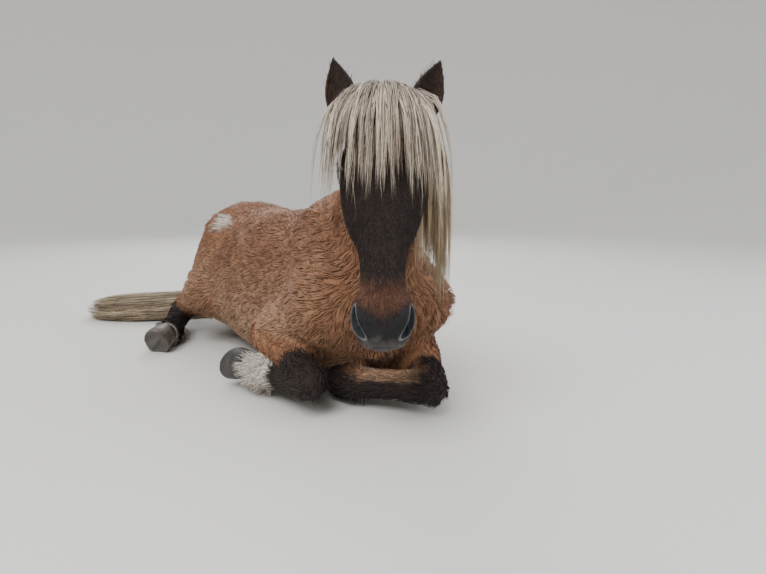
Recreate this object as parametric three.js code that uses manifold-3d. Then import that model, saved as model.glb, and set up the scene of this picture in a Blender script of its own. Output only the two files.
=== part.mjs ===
// A life-size resting Icelandic horse, a silver bay with a flaxen mane, lying on its breastbone with
// its head hanging upright in front of the chest. Millimetres, +Z up, the floor at z = 0. The head is
// towards -Y, the tail towards +Y, and the horse's left side is +X.
//
// Flesh is described by fields: functions that give the distance of a point from the skin, made of
// tapered limbs and rounded muscles that flow into one another. Rays cast outwards from a line down the
// middle of each part find the skin, ring by ring, which gives a regular closed surface.

import * as THREE from "three";
import { mergeVertices } from "three/addons/utils/BufferGeometryUtils.js";
import Module from "manifold-3d";

const wasm = await Module();
wasm.setup();

// Driving dimensions

const withersHeight = 594; // lying down, from the floor
const bodyLength = 1380; // breast to buttock
const headLength = 585; // poll to lips
const headTurn = THREE.MathUtils.degToRad(28); // the head looks to the horse's right of the body
const noseForward = THREE.MathUtils.degToRad(11); // the face leans this far from upright
const earLength = 128;
const eyeRadius = 20;
const hoofLength = 98;
const seam = 0.3; // gap between parts that touch
const floorDip = 6; // how far soft parts would reach below the floor before it flattens them

const point = (x, y, z) => new THREE.Vector3(x, y, z);
const mix = THREE.MathUtils.lerp;

// Fields

function smoothMin(a, b, blend) {
  const h = Math.max(blend - Math.abs(a - b), 0) / blend;
  return Math.min(a, b) - (h * h * blend) / 4;
}

function taperedLimb(p, a, b, radiusA, radiusB) {
  const abx = b.x - a.x;
  const aby = b.y - a.y;
  const abz = b.z - a.z;
  const along = (p.x - a.x) * abx + (p.y - a.y) * aby + (p.z - a.z) * abz;
  const t = THREE.MathUtils.clamp(along / (abx * abx + aby * aby + abz * abz), 0, 1);
  return Math.hypot(p.x - a.x - abx * t, p.y - a.y - aby * t, p.z - a.z - abz * t) - mix(radiusA, radiusB, t);
}

function muscle(p, centre, rx, ry, rz) {
  const x = (p.x - centre.x) / rx;
  const y = (p.y - centre.y) / ry;
  const z = (p.z - centre.z) / rz;
  const near = Math.hypot(x, y, z);
  const steep = Math.hypot(x / rx, y / ry, z / rz);
  return near < 1e-6 ? -Math.min(rx, ry, rz) : (near * (near - 1)) / steep;
}

// A limb of several lengths: joints are [point, radius].
function limbField(joints, blend = 30) {
  return (p) => {
    let d = Infinity;
    for (let i = 1; i < joints.length; i++) {
      const [a, ra] = joints[i - 1];
      const [b, rb] = joints[i];
      const part = taperedLimb(p, a, b, ra, rb);
      d = i === 1 ? part : smoothMin(d, part, blend);
    }
    return d;
  };
}

// A smooth curve through a column of a station table, read at place t.
function readStations(stations, t, column) {
  const last = stations.length - 1;
  let i = 0;
  while (i < last - 1 && t > stations[i + 1][0]) i++;
  const [before, a, b, after] = [Math.max(i - 1, 0), i, i + 1, Math.min(i + 2, last)].map((k) => stations[k]);
  const span = b[0] - a[0];
  const s = THREE.MathUtils.clamp((t - a[0]) / span, 0, 1);
  const slopeA = ((b[column] - before[column]) / (b[0] - before[0] || 1)) * span;
  const slopeB = ((after[column] - a[column]) / (after[0] - a[0] || 1)) * span;
  const s2 = s * s;
  const s3 = s2 * s;
  return (
    (2 * s3 - 3 * s2 + 1) * a[column] + (s3 - 2 * s2 + s) * slopeA +
    (3 * s2 - 2 * s3) * b[column] + (s3 - s2) * slopeB
  );
}

// A rounded section, narrower at the top by the share egg, squarer with a higher power. Past is how far
// the point lies past the last section, as a share of the rounded end's length.
function sectionField(x, z, { half, top, bottom, egg, power, past }) {
  const high = (top - bottom) / 2;
  const v = (z - (top + bottom) / 2) / high;
  const wide = half * (1 - egg * THREE.MathUtils.clamp(v, -1, 1));
  const r = Math.pow(Math.pow(Math.abs(x / wide), power) + Math.pow(Math.abs(v), power), 1 / power);
  return (Math.hypot(r, past) - 1) * Math.min(wide, high);
}

// The trunk: place along the body, height of the back, height of the underline, half width, egg shape,
// sideways place of the breastbone, and how far the back leans to the left over it
const trunkStations = [
  [20, 400, 132, 95, 0.05, 0, 20],
  [90, 495, 68, 165, 0.1, 0, 34],
  [210, 560, 40, 200, 0.2, 0, 52],
  [330, withersHeight, 8, 222, 0.3, 0, 60],
  [480, 566, -floorDip, 256, 0.24, 0, 44],
  [680, 546, -floorDip, 288, 0.12, 0, 14],
  [860, 538, -floorDip, 286, 0.08, -8, 0],
  [1000, 546, 10, 246, 0.12, -18, -8],
  [1130, 552, 40, 214, 0.2, -28, -12],
  [1260, 488, 60, 158, 0.2, -30, -6],
  [bodyLength - 70, 440, 90, 120, 0.15, -30, 0],
];
const trunkEnd = 70; // length of the rounded ends

function trunkField(p) {
  const first = trunkStations[0][0];
  const last = trunkStations[trunkStations.length - 1][0];
  const y = THREE.MathUtils.clamp(p.y, first, last);
  const read = (column) => readStations(trunkStations, y, column);
  const [top, bottom, half, egg, side, lean] = [1, 2, 3, 4, 5, 6].map(read);
  const middle = side + lean * THREE.MathUtils.clamp((p.z - bottom) / (top - bottom), 0, 1);
  const past = Math.abs(p.y - y) / trunkEnd;
  return sectionField(p.x - middle, p.z, { half, top, bottom, egg, power: 2.25, past });
}

// Right is the horse's own right, on -X. The pelvis leans a little, so its right side is higher.
const limbs = {
  right: {
    side: -1,
    shoulderPoint: point(-140, 72, 290),
    elbow: point(-232, 300, 164),
    knee: point(-226, 6, 96),
    foreFetlock: point(-286, 236, 74),
    forePastern: point(-314, 304, 74),
    foreToe: point(-344, 380, 70),
    hip: point(-226, 1024, 468),
    stifle: point(-302, 935, 215),
    hock: point(-346, 1285, 92),
    hindFetlock: point(-446, 1012, 48),
    hindPastern: point(-474, 946, 54),
    hindToe: point(-526, 862, 38),
    buttock: point(-128, 1290, 300),
    croup: 70,
  },
  left: {
    side: 1,
    shoulderPoint: point(158, 62, 285),
    elbow: point(214, 215, 150),
    knee: point(74, -140, 78),
    foreFetlock: point(-92, 44, 68),
    forePastern: point(-72, 118, 54),
    foreToe: point(-48, 205, 52),
    hip: point(156, 1018, 446),
    stifle: point(290, 945, 150),
    hock: point(284, 1285, 80),
    hindFetlock: point(362, 1020, 44),
    hindPastern: point(384, 950, 48),
    hindToe: point(416, 860, 36),
    buttock: point(64, 1290, 275),
    croup: 52,
  },
};

function shoulderField(p, m) {
  const blade = taperedLimb(p, point(m.side * 88 + 44, 330, 478), m.shoulderPoint, 78, 92);
  const upperArm = taperedLimb(p, m.shoulderPoint, m.elbow, 92, 74);
  return smoothMin(blade, upperArm, 70);
}

function haunchField(p, m) {
  const side = m.side;
  const hipPoint = taperedLimb(p, m.hip, point(side * m.croup - 24, 1130, m.hip.z - 22), 58, 108);
  const thigh = taperedLimb(p, point(side * 125 - 26, 1140, 340), m.stifle, 150, 88);
  const buttock = taperedLimb(p, point(side * 78 - 28, 1200, 390), m.buttock, 110, 92);
  const gaskin = taperedLimb(p, m.stifle, m.hock.clone().lerp(m.stifle, 0.45), 84, 62);
  const back = smoothMin(hipPoint, thigh, 90);
  return smoothMin(smoothMin(back, buttock, 80), gaskin, 50);
}

// The head's own frame: across to the horse's left, out of the face, and down the face from the poll
const poll = point(-136, -256, 838);
const facing = point(-Math.sin(headTurn), -Math.cos(headTurn), 0);
const headAcross = point(Math.cos(headTurn), -Math.sin(headTurn), 0);
const headOut = facing.clone().multiplyScalar(Math.cos(noseForward)).add(point(0, 0, Math.sin(noseForward)));
const headDown = facing.clone().multiplyScalar(Math.sin(noseForward));
headDown.z -= Math.cos(noseForward);
const headFrame = new THREE.Matrix4().makeBasis(headAcross, headOut, headDown).setPosition(poll);
const intoHead = headFrame.clone().invert();
const onHead = (across, out, down) => point(across, out, down).applyMatrix4(headFrame);

// The head: distance down from the poll, front line, back line, half width, squareness
const headStations = [
  [5, -26, -96, 58, 2.1],
  [60, -4, -150, 76, 2.2],
  [130, 3, -205, 86, 2.3],
  [190, 4, -226, 87, 2.35],
  [250, 2, -214, 76, 2.4],
  [320, -1, -168, 62, 2.45],
  [400, -3, -132, 51, 2.4],
  [470, -4, -122, 54, 2.4],
  [530, -9, -120, 60, 2.4],
  [headLength - 32, -16, -116, 57, 2.4],
];
const muzzleEnd = 34; // length of the rounded end

function skullField(p) {
  const q = p.clone().applyMatrix4(intoHead);
  const first = headStations[0][0];
  const last = headStations[headStations.length - 1][0];
  const down = THREE.MathUtils.clamp(q.z, first, last);
  const [front, back, half, power] = [1, 2, 3, 4].map((column) => readStations(headStations, down, column));
  // The forehead is widest near the front, the jaws are slimmer behind.
  const egg = down < 300 ? -0.16 : 0.04;
  const past = Math.abs(q.z - down) / muzzleEnd;
  let d = sectionField(q.x, q.y, { half, top: front, bottom: back, egg, power, past });
  q.x = Math.abs(q.x);
  d = smoothMin(d, muscle(q, point(78, -44, 172), 26, 34, 36), 22); // orbit
  d = smoothMin(d, muscle(q, point(56, -138, 178), 26, 82, 92), 26); // cheek
  d = smoothMin(d, taperedLimb(q, point(80, -62, 205), point(58, -58, 330), 9, 7), 16); // facial crest
  d = smoothMin(d, taperedLimb(q, point(20, -14, 250), point(14, -14, 430), 17, 14), 18); // nose bone
  d = smoothMin(d, muscle(q, point(47, -40, 505), 24, 34, 48), 20); // nostril flare
  d = smoothMin(d, muscle(q, point(0, -50, 550), 50, 34, 34), 18); // upper lip
  d = smoothMin(d, muscle(q, point(0, -94, 548), 38, 26, 30), 12); // lower lip
  d = smoothMin(d, muscle(q, point(0, -114, 505), 28, 20, 28), 16); // chin
  return d;
}

// The neck runs from the withers and breast to the back of the head.
const neckJoin = { throat: [-214, 205], crest: [-58, -18] }; // out and down, in the head's frame
const onNeckJoin = (share) =>
  onHead(
    0,
    mix(neckJoin.throat[0], neckJoin.crest[0], share),
    mix(neckJoin.throat[1], neckJoin.crest[1], share),
  );
const crestLine = [
  [point(56, 345, 530), 60],
  [point(34, 190, 614), 46],
  [point(-22, -10, 716), 42],
  [onHead(0, -84, 42), 44],
];
const neckCore = limbField(
  [
    [point(34, 230, 430), 134],
    [point(0, 45, 560), 98],
    [onHead(0, -138, 98), 74],
  ],
  60,
);
const neckUnder = limbField(
  [
    [point(10, 95, 320), 112],
    [point(-12, -30, 458), 82],
    [onHead(0, -168, 168), 58],
  ],
  60,
);
const neckCrest = limbField(crestLine, 50);

function neckField(p) {
  return smoothMin(smoothMin(neckCore(p), neckUnder(p), 60), neckCrest(p), 50);
}

function bodyField(p) {
  let d = trunkField(p);
  for (const m of [limbs.right, limbs.left]) {
    d = smoothMin(d, shoulderField(p, m), 90);
    d = smoothMin(d, haunchField(p, m), 75);
  }
  return smoothMin(d, neckField(p), 80);
}

function fleshField(p) {
  return smoothMin(bodyField(p), skullField(p), 40);
}

// Surfaces

function closedGeometry(positions, index) {
  const g = new THREE.BufferGeometry();
  g.setAttribute("position", new THREE.Float32BufferAttribute(positions, 3));
  g.setIndex(index);
  return g;
}

// How far along a ray from origin the field reaches level.
function reach(field, origin, direction, level, farthest) {
  const step = 6;
  const p = point(0, 0, 0);
  let t = 0;
  while (t < farthest && field(p.copy(origin).addScaledVector(direction, t)) < level) t += step;
  if (t >= farthest) return farthest;
  let low = Math.max(t - step, 0);
  let high = t;
  for (let i = 0; i < 14; i++) {
    const middle = (low + high) / 2;
    if (field(p.copy(origin).addScaledVector(direction, middle)) < level) low = middle;
    else high = middle;
  }
  return Math.max(low, 1);
}

// The skin round a line of rings. A ring has an origin, an across and an up direction, and a lean by
// which its rays tip out of its plane, so that a fan of leaning rings closes a round end. A pole is
// the ring's origin itself on a flat end.
function skinOf(field, rings, sides, { level = 0, farthest = 420 } = {}) {
  const positions = [];
  const index = [];
  const direction = point(0, 0, 0);
  rings.forEach(({ origin, across, up, lean = 0 }) => {
    const axis = across.clone().cross(up);
    for (let i = 0; i < sides; i++) {
      const angle = (i / sides) * 2 * Math.PI;
      direction.set(0, 0, 0);
      direction.addScaledVector(across, Math.cos(angle) * Math.cos(lean));
      direction.addScaledVector(up, Math.sin(angle) * Math.cos(lean));
      direction.addScaledVector(axis, Math.sin(lean));
      const p = origin.clone().addScaledVector(direction, reach(field, origin, direction, level, farthest));
      positions.push(p.x, p.y, p.z);
    }
  });
  const poleOf = ({ origin, across, up, lean = 0 }) => {
    if (!lean) return origin;
    const axis = across.clone().cross(up).multiplyScalar(Math.sign(lean));
    return origin.clone().addScaledVector(axis, reach(field, origin, axis, level, farthest));
  };
  const lastRow = rings.length - 1;
  for (const ring of [rings[0], rings[lastRow]]) positions.push(...poleOf(ring).toArray());
  const firstPole = rings.length * sides;
  for (let i = 0; i < sides; i++) {
    const next = (i + 1) % sides;
    index.push(firstPole, next, i);
    index.push(firstPole + 1, lastRow * sides + i, lastRow * sides + next);
    for (let r = 0; r < lastRow; r++) {
      const a = r * sides + i;
      const b = r * sides + next;
      index.push(a, b, b + sides, a, b + sides, a + sides);
    }
  }
  return closedGeometry(positions, index);
}

function solidOf(geometry) {
  const bare = new THREE.BufferGeometry().setAttribute("position", geometry.getAttribute("position"));
  bare.setIndex(geometry.index);
  const merged = mergeVertices(bare, 1e-3);
  const made = new wasm.Manifold(
    new wasm.Mesh({
      numProp: 3,
      vertProperties: merged.attributes.position.array,
      triVerts: new Uint32Array(merged.index.array),
    }),
  );
  if (made.volume() > 0) return made;
  const turned = new Uint32Array(merged.index.array);
  for (let i = 0; i < turned.length; i += 3) [turned[i + 1], turned[i + 2]] = [turned[i + 2], turned[i + 1]];
  return new wasm.Manifold(
    new wasm.Mesh({ numProp: 3, vertProperties: merged.attributes.position.array, triVerts: turned }),
  );
}

function largestOf(solid) {
  return solid.decompose().reduce((best, s) => (s.volume() > best.volume() ? s : best));
}

function geometryOf(solid) {
  const { vertProperties, triVerts, numProp, numVert } = largestOf(solid).getMesh();
  const positions = [];
  for (let i = 0; i < numVert; i++) positions.push(...vertProperties.subarray(i * numProp, i * numProp + 3));
  return closedGeometry(positions, Array.from(triVerts));
}

const placed = (geometry, matrix) => solidOf(geometry.clone().applyMatrix4(matrix));

// A big block whose one face goes through place, with the block on the side that outward points to.
function blockBeyond(place, outward) {
  const size = 6000;
  const turn = new THREE.Quaternion().setFromUnitVectors(point(0, 0, 1), outward.clone().normalize());
  const matrix = new THREE.Matrix4().compose(
    place.clone().addScaledVector(outward.clone().normalize(), size / 2),
    turn,
    point(1, 1, 1),
  );
  return placed(new THREE.BoxGeometry(size, size, size), matrix);
}

const belowFloor = blockBeyond(point(0, 0, 0), point(0, 0, -1));

// Rings down the body

const X = point(1, 0, 0);
const bodyPivot = point(0, 330, 660); // above the withers: the shoulder rings fan out from here
const neckSlope = THREE.MathUtils.degToRad(55);
const pivotDrop = 290;

function fanRing(slope, shift = 0) {
  const down = point(0, -Math.sin(slope), -Math.cos(slope));
  const origin = bodyPivot.clone().addScaledVector(down, pivotDrop);
  const up = down.clone().negate();
  origin.addScaledVector(X.clone().cross(up), -shift);
  return { origin, across: X, up };
}

const uprightRing = (y, height, lean = 0) => {
  return { origin: point(0, y, height), across: X, up: point(0, 0, 1), lean };
};
const spaced = (from, to, count) => Array.from({ length: count }, (_, i) => mix(from, to, i / (count - 1)));

const loinPlace = 945;
const loinHeight = 290;
const torsoSides = 38;
const fanCount = 8;

// X crossed with up points to -Y here, so a positive lean tips forwards.
const torsoRings = [
  ...spaced(neckSlope, neckSlope / fanCount, fanCount).map((slope, i) => fanRing(slope, i ? 0 : seam / 2)),
  ...spaced(bodyPivot.y, loinPlace - seam / 2, 14).map((y) =>
    uprightRing(y, mix(370, loinHeight, (y - 330) / 615)),
  ),
];
const rumpPlace = 1235;
const hindRings = [
  ...spaced(loinPlace + seam / 2, rumpPlace, 8).map((y) => uprightRing(y, loinHeight)),
  ...spaced(0.25, 1.3, 4).map((lean) => uprightRing(rumpPlace, loinHeight, -lean)),
];

const torsoSkin = (level) => solidOf(skinOf(bodyField, torsoRings, torsoSides, { level }));
const hindSkin = (level) => solidOf(skinOf(bodyField, hindRings, torsoSides, { level }));
const torso = torsoSkin(0).subtract(belowFloor);
const hindquarters = hindSkin(0).subtract(belowFloor);

// Neck: rings turn from the shoulder's slope to the back of the head.

const neckJoinCentre = onNeckJoin(0.52);
const neckJoinUp = onNeckJoin(1).sub(onNeckJoin(0)).normalize();
const towardsNeck = neckJoinUp.clone().cross(headAcross).normalize();

function frameOf(across, up) {
  return new THREE.Quaternion().setFromRotationMatrix(
    new THREE.Matrix4().makeBasis(across, up, across.clone().cross(up)),
  );
}

function neckRings(baseShift) {
  const base = fanRing(neckSlope, baseShift);
  const from = frameOf(base.across, base.up);
  const to = frameOf(headAcross, neckJoinUp);
  const end = neckJoinCentre.clone().addScaledVector(towardsNeck, seam);
  const middle = point(-12, 5, 605);
  const line = new THREE.QuadraticBezierCurve3(base.origin, middle, end);
  return spaced(0, 1, 10).map((t) => {
    const turn = from.clone().slerp(to, t);
    return {
      origin: line.getPoint(t),
      across: point(1, 0, 0).applyQuaternion(turn),
      up: point(0, 1, 0).applyQuaternion(turn),
    };
  });
}

const neckSkin = (level, baseShift = -seam / 2) =>
  solidOf(skinOf(fleshField, neckRings(baseShift), 30, { level, farthest: 300 }));

// Head

const headAxisOut = (down) => (readStations(headStations, down, 1) + readStations(headStations, down, 2)) / 2;

function headRing(down, lean = 0) {
  return { origin: onHead(0, headAxisOut(down), down), across: headAcross, up: headOut, lean };
}

// Across crossed with out points down the face, so the lips lean positive and the poll negative.
const muzzleTurn = 530;
const headRings = [
  ...spaced(-1.2, -0.3, 3).map((lean) => headRing(52, lean)),
  ...spaced(60, 270, 11).map((down) => headRing(down)),
  ...spaced(294, 440, 6).map((down) => headRing(down)),
  ...spaced(457, muzzleTurn, 6).map((down) => headRing(down)),
  ...spaced(0.3, 1.25, 4).map((lean) => headRing(muzzleTurn, lean)),
];
const headSkin = (level) => solidOf(skinOf(fleshField, headRings, 34, { level, farthest: 250 }));

const behindHead = blockBeyond(neckJoinCentre.clone().addScaledVector(towardsNeck, -seam), towardsNeck);

function eyePlace(side) {
  return onHead(side * 74, -38, 172);
}

// The eye looks outwards, a little forwards and down.
function eyeFrame(side) {
  const look = headAcross.clone().multiplyScalar(side * 0.84);
  look.addScaledVector(headOut, 0.52).addScaledVector(headDown, 0.12).normalize();
  const up = headDown.clone().negate().addScaledVector(headOut, 0.35);
  const across = up.cross(look).normalize();
  return new THREE.Matrix4().makeBasis(across, look.clone().cross(across), look).setPosition(eyePlace(side));
}

// Two arcs that meet in the corners of the eye
function almond(width, high, low) {
  const shape = new THREE.Shape();
  shape.moveTo(-width, 0);
  shape.quadraticCurveTo(-width * 0.2, high * 2, width, 0);
  shape.quadraticCurveTo(0, -low * 2, -width, 0);
  return shape;
}

function eyeball(side) {
  return placed(new THREE.SphereGeometry(eyeRadius, 14, 9), eyeFrame(side));
}

function withEye(head, side) {
  const lids = placed(new THREE.SphereGeometry(eyeRadius + 5, 14, 9), eyeFrame(side));
  const outline = almond(17, 10, 9);
  const opening = new THREE.ExtrudeGeometry(outline, { depth: 60, bevelEnabled: false, curveSegments: 4 });
  const socket = placed(new THREE.SphereGeometry(eyeRadius + seam, 14, 9), eyeFrame(side));
  return head.add(lids).subtract(placed(opening, eyeFrame(side))).subtract(socket);
}

// A nostril is a comma-shaped hollow, wide at the top and drawn in towards the lip.
function nostril(side) {
  const look = headAcross.clone().multiplyScalar(side * 0.72);
  look.addScaledVector(headOut, 0.66).addScaledVector(headDown, 0.2).normalize();
  const along = headDown.clone().addScaledVector(headAcross, -side * 0.3);
  const across = along.cross(look).normalize();
  const frame = new THREE.Matrix4().makeBasis(across, look.clone().cross(across), look);
  frame.setPosition(onHead(side * 52, -26, 506));
  return placed(new THREE.SphereGeometry(1, 12, 8).scale(8, 31, 24), frame);
}

// The line of the mouth is a thin wedge between the lips, no deeper than their thickness.
function mouthLine() {
  const [gape, lipDepth] = [3, 9];
  const slit = new THREE.BoxGeometry(160, gape, 150);
  const frame = new THREE.Matrix4().makeRotationX(THREE.MathUtils.degToRad(-14));
  frame.setPosition(0, -76, 568);
  const inner = solidOf(skinOf(fleshField, headRings, 16, { level: -lipDepth, farthest: 250 }));
  return placed(slit, headFrame.clone().multiply(frame)).subtract(inner);
}

let head = headSkin(0).subtract(behindHead);
head = head.subtract(mouthLine());
for (const side of [-1, 1]) head = withEye(head, side).subtract(nostril(side));

// Ears: a leaf with its cup towards the front

function leafSkin(length, width, depth, baseWidth, steps, sides) {
  const positions = [];
  const index = [];
  for (let i = 0; i <= steps; i++) {
    const t = i / steps;
    const bulge = Math.sin(Math.PI * Math.pow(mix(0.2, 0.985, t), 0.9));
    const half = mix(baseWidth, 0, t) * 0.35 + width * bulge;
    for (let k = 0; k < sides; k++) {
      const angle = (k / sides) * 2 * Math.PI;
      positions.push(half * Math.cos(angle), depth * (0.35 + 0.65 * bulge) * Math.sin(angle), length * t);
    }
  }
  const tip = (steps + 1) * sides;
  positions.push(0, 0, 0, 0, 0, length * 1.03);
  for (let k = 0; k < sides; k++) {
    const next = (k + 1) % sides;
    index.push(tip, next, k, tip + 1, steps * sides + k, steps * sides + next);
    for (let i = 0; i < steps; i++) {
      const a = i * sides + k;
      const b = i * sides + next;
      index.push(a, b, b + sides, a, b + sides, a + sides);
    }
  }
  return closedGeometry(positions, index);
}

function earFrame(side) {
  const spread = side < 0 ? 0.2 : 0.35; // the left ear is turned out further
  const up = headDown.clone().multiplyScalar(-0.95).addScaledVector(headAcross, side * spread);
  up.addScaledVector(headOut, 0.14).normalize();
  const front = headOut.clone().addScaledVector(headAcross, side * 0.32);
  const across = front.cross(up).normalize();
  const cupwards = up.clone().cross(across).normalize();
  return new THREE.Matrix4().makeBasis(across, cupwards, up).setPosition(onHead(side * 87, -68, 44));
}

const earShell = (side, more) =>
  placed(leafSkin(earLength + more, 34 + more, 23 + more, 24, 7, 12), earFrame(side));

function ear(side) {
  const cup = leafSkin(earLength * 0.82, 28, 20, 17, 6, 10).translate(0, 11, earLength * 0.15);
  return earShell(side, 0).subtract(placed(cup, earFrame(side)));
}

// Legs

function limbRings(joints, sides, stepsPerLength, reference) {
  const rings = [];
  const round = 3;
  for (let i = 1; i < joints.length; i++) {
    const a = joints[i - 1][0];
    const b = joints[i][0];
    const axis = b.clone().sub(a).normalize();
    const across = reference.clone().cross(axis).normalize();
    const up = axis.clone().cross(across);
    const leans = (from, to) => spaced(from, to, round);
    if (i === 1) leans(-1.2, -0.3).forEach((lean) => rings.push({ origin: a, across, up, lean }));
    const count = stepsPerLength;
    for (let k = 0; k < count; k++) rings.push({ origin: a.clone().lerp(b, (k + 0.5) / count), across, up });
    if (i === joints.length - 1) {
      leans(0.3, 1.2).forEach((lean) => rings.push({ origin: b, across, up, lean }));
    }
  }
  return rings;
}

function limb(joints, { sides = 13, steps = 2, blend = 30, reference = point(0, 0, 1) } = {}) {
  return solidOf(skinOf(limbField(joints, blend), limbRings(joints, sides, steps, reference), sides));
}

// The plane that halves the bend at a joint, facing the farther limb
function bendPlane(before, joint, after) {
  const inward = before.clone().sub(joint).normalize();
  const outward = after.clone().sub(joint).normalize();
  return outward.sub(inward).normalize();
}

function hoof(fetlock, coronet, toe) {
  const down = toe.clone().sub(coronet).normalize();
  const across = down.clone().cross(point(0, 0, 1)).normalize();
  const front = across.clone().cross(down);
  const wall = new THREE.CylinderGeometry(41, 56, hoofLength, 16, 1);
  wall.rotateX(-Math.PI / 2); // the ground edge is now at -Z
  const frame = new THREE.Matrix4().makeBasis(across, front, down.clone().negate());
  frame.setPosition(coronet.clone().lerp(toe, 0.5));
  return placed(wall, frame);
}

function foreLeg(m) {
  const kneeAt = m.knee;
  const forearmJoints = [
    [m.elbow, 74],
    [m.elbow.clone().lerp(kneeAt, 0.45), 66],
    [m.elbow.clone().lerp(kneeAt, 0.8), 50],
    [kneeAt, 53],
  ];
  const cannonJoints = [
    [kneeAt, 52],
    [kneeAt.clone().lerp(m.foreFetlock, 0.3), 37],
    [kneeAt.clone().lerp(m.foreFetlock, 0.7), 36],
    [m.foreFetlock, 45],
    [m.forePastern, 40],
  ];
  const facingOut = bendPlane(m.elbow, kneeAt, m.foreFetlock);
  const beyond = blockBeyond(kneeAt.clone().addScaledVector(facingOut, -seam / 2), facingOut);
  const before = blockBeyond(kneeAt.clone().addScaledVector(facingOut, seam / 2), facingOut.clone().negate());
  return {
    forearm: limb(forearmJoints).subtract(beyond),
    cannon: limb(cannonJoints).subtract(before),
    hoof: hoof(m.foreFetlock, m.forePastern, m.foreToe),
  };
}

function hindLeg(m) {
  const gaskinTop = m.stifle.clone().lerp(m.hock, 0.2);
  const gaskinJoints = [
    [gaskinTop, 78],
    [m.stifle.clone().lerp(m.hock, 0.6), 62],
    [m.hock, 52],
  ];
  const cannonJoints = [
    [m.hock, 51],
    [m.hock.clone().lerp(m.hindFetlock, 0.3), 41],
    [m.hock.clone().lerp(m.hindFetlock, 0.7), 38],
    [m.hindFetlock, 45],
    [m.hindPastern, 40],
  ];
  const facingOut = bendPlane(gaskinTop, m.hock, m.hindFetlock);
  const beyond = blockBeyond(m.hock.clone().addScaledVector(facingOut, -seam / 2), facingOut);
  const before = blockBeyond(m.hock.clone().addScaledVector(facingOut, seam / 2), facingOut.clone().negate());
  return {
    gaskin: limb(gaskinJoints).subtract(beyond),
    cannon: limb(cannonJoints).subtract(before),
    hoof: hoof(m.hindFetlock, m.hindPastern, m.hindToe),
  };
}

// Hair falls as flat tapered locks. Each follows a line that droops, is combed one way, and keeps off
// the skin and the floor.

let seed = 11;
function random(from, to) {
  seed = (seed * 16807) % 2147483647;
  return from + ((to - from) * seed) / 2147483647;
}

const straightDown = point(0, 0, -1);

function awayFromSkin(field, p) {
  const e = 2;
  const at = field(p);
  const slope = (v) => field(p.clone().addScaledVector(v, e)) - at;
  return point(slope(X), slope(point(0, 1, 0)), slope(point(0, 0, 1))).normalize();
}

// Steps are short near the root, where the skin curves most.
const stepShares = [0.08, 0.1, 0.14, 0.19, 0.24, 0.25];

function fallingLine({ root, heading, length, droop, clear, field }) {
  const line = [root.clone()];
  const way = heading.clone().normalize();
  const p = root.clone();
  for (const share of stepShares) {
    way.addScaledVector(straightDown, droop * share * stepShares.length).normalize();
    p.addScaledVector(way, length * share);
    for (let k = 0; k < 3; k++) {
      const lift = clear - field(p);
      if (lift > 0) p.addScaledVector(awayFromSkin(field, p), lift);
    }
    p.z = Math.max(p.z, clear);
    line.push(p.clone());
  }
  return line;
}

// Which way a lock's ridge faces along its line: away from the skin, and turning slowly, so that the lock
// doesn't cross itself where it leaves the root.
function facingAlong(line, field) {
  const facing = awayFromSkin(field, line[2]);
  return line.map((p) => facing.lerp(awayFromSkin(field, p), 0.3).normalize().clone());
}

// A closed lock along a line, with a three-sided section: a flat underside and a ridge on the side it faces.
function lockOf(line, facing, width, thickness) {
  const positions = [];
  const index = [];
  const last = line.length - 1;
  for (let i = 0; i < last; i++) {
    const t = i / last;
    const along = line[i + 1].clone().sub(line[Math.max(i - 1, 0)]).normalize();
    const across = along.clone().cross(facing[i]).normalize();
    const out = across.clone().cross(along).normalize();
    const swell = Math.min(1, 0.25 + 2.2 * t) * Math.pow(1 - t, 0.55);
    for (const [a, o] of [[1, 0], [0, 1], [-1, 0]]) {
      const q = line[i].clone().addScaledVector(across, a * width * swell);
      positions.push(...q.addScaledVector(out, o * thickness * swell).toArray());
    }
  }
  const sides = 3;
  const tip = last * sides;
  positions.push(...line[0].toArray(), ...line[last].toArray());
  for (let k = 0; k < sides; k++) {
    const next = (k + 1) % sides;
    index.push(tip, next, k, tip + 1, (last - 1) * sides + k, (last - 1) * sides + next);
    for (let i = 0; i < last - 1; i++) {
      const [a, b] = [i * sides + k, i * sides + next];
      index.push(a, b, b + sides, a, b + sides, a + sides);
    }
  }
  return solidOf(closedGeometry(positions, index));
}

const joined = (solids) => solids.reduce((all, s) => all.add(s));

// Mane: from the crest, all falling on the left side, longest beside the cheek
const underCrest = new THREE.CatmullRomCurve3([
  onHead(0, -84, 34),
  onHead(0, -104, 60),
  point(-22, -10, 716),
  point(34, 190, 614),
  point(52, 320, 545),
]);
const crestwards = point(0.3, -0.25, 1).normalize();
const onCrest = (t) => {
  const inside = underCrest.getPoint(t);
  return inside.addScaledVector(crestwards, reach(fleshField, inside, crestwards, 0, 200));
};
const maneLength = 430;
const maneLockThickness = 10;
const maneRows = [
  { count: 8, share: 0.82, width: 58, clear: 5 },
  { count: 12, share: 1, width: 32, clear: 16 },
];

function mane() {
  seed = 11;
  const coreJoints = spaced(0.03, 1, 7).map((t) => [onCrest(t), 17]);
  const locks = [limb(coreJoints, { steps: 1, sides: 8, reference: X })];
  for (const { count, share, width, clear } of maneRows) {
    for (let i = 0; i < count; i++) {
      const t = (i + random(0.3, 0.7)) / count;
      const heading = point(0.6, -0.12, 0.3).addScaledVector(underCrest.getTangent(t), random(-0.12, 0.12));
      const line = fallingLine({
        root: onCrest(t),
        heading,
        length: maneLength * share * mix(1.04, 0.62, t) * random(0.86, 1.06),
        droop: 0.85,
        clear,
        field: fleshField,
      });
      locks.push(lockOf(line, facingAlong(line, fleshField), width * random(0.85, 1.1), maneLockThickness));
    }
  }
  return joined(locks);
}

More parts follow.
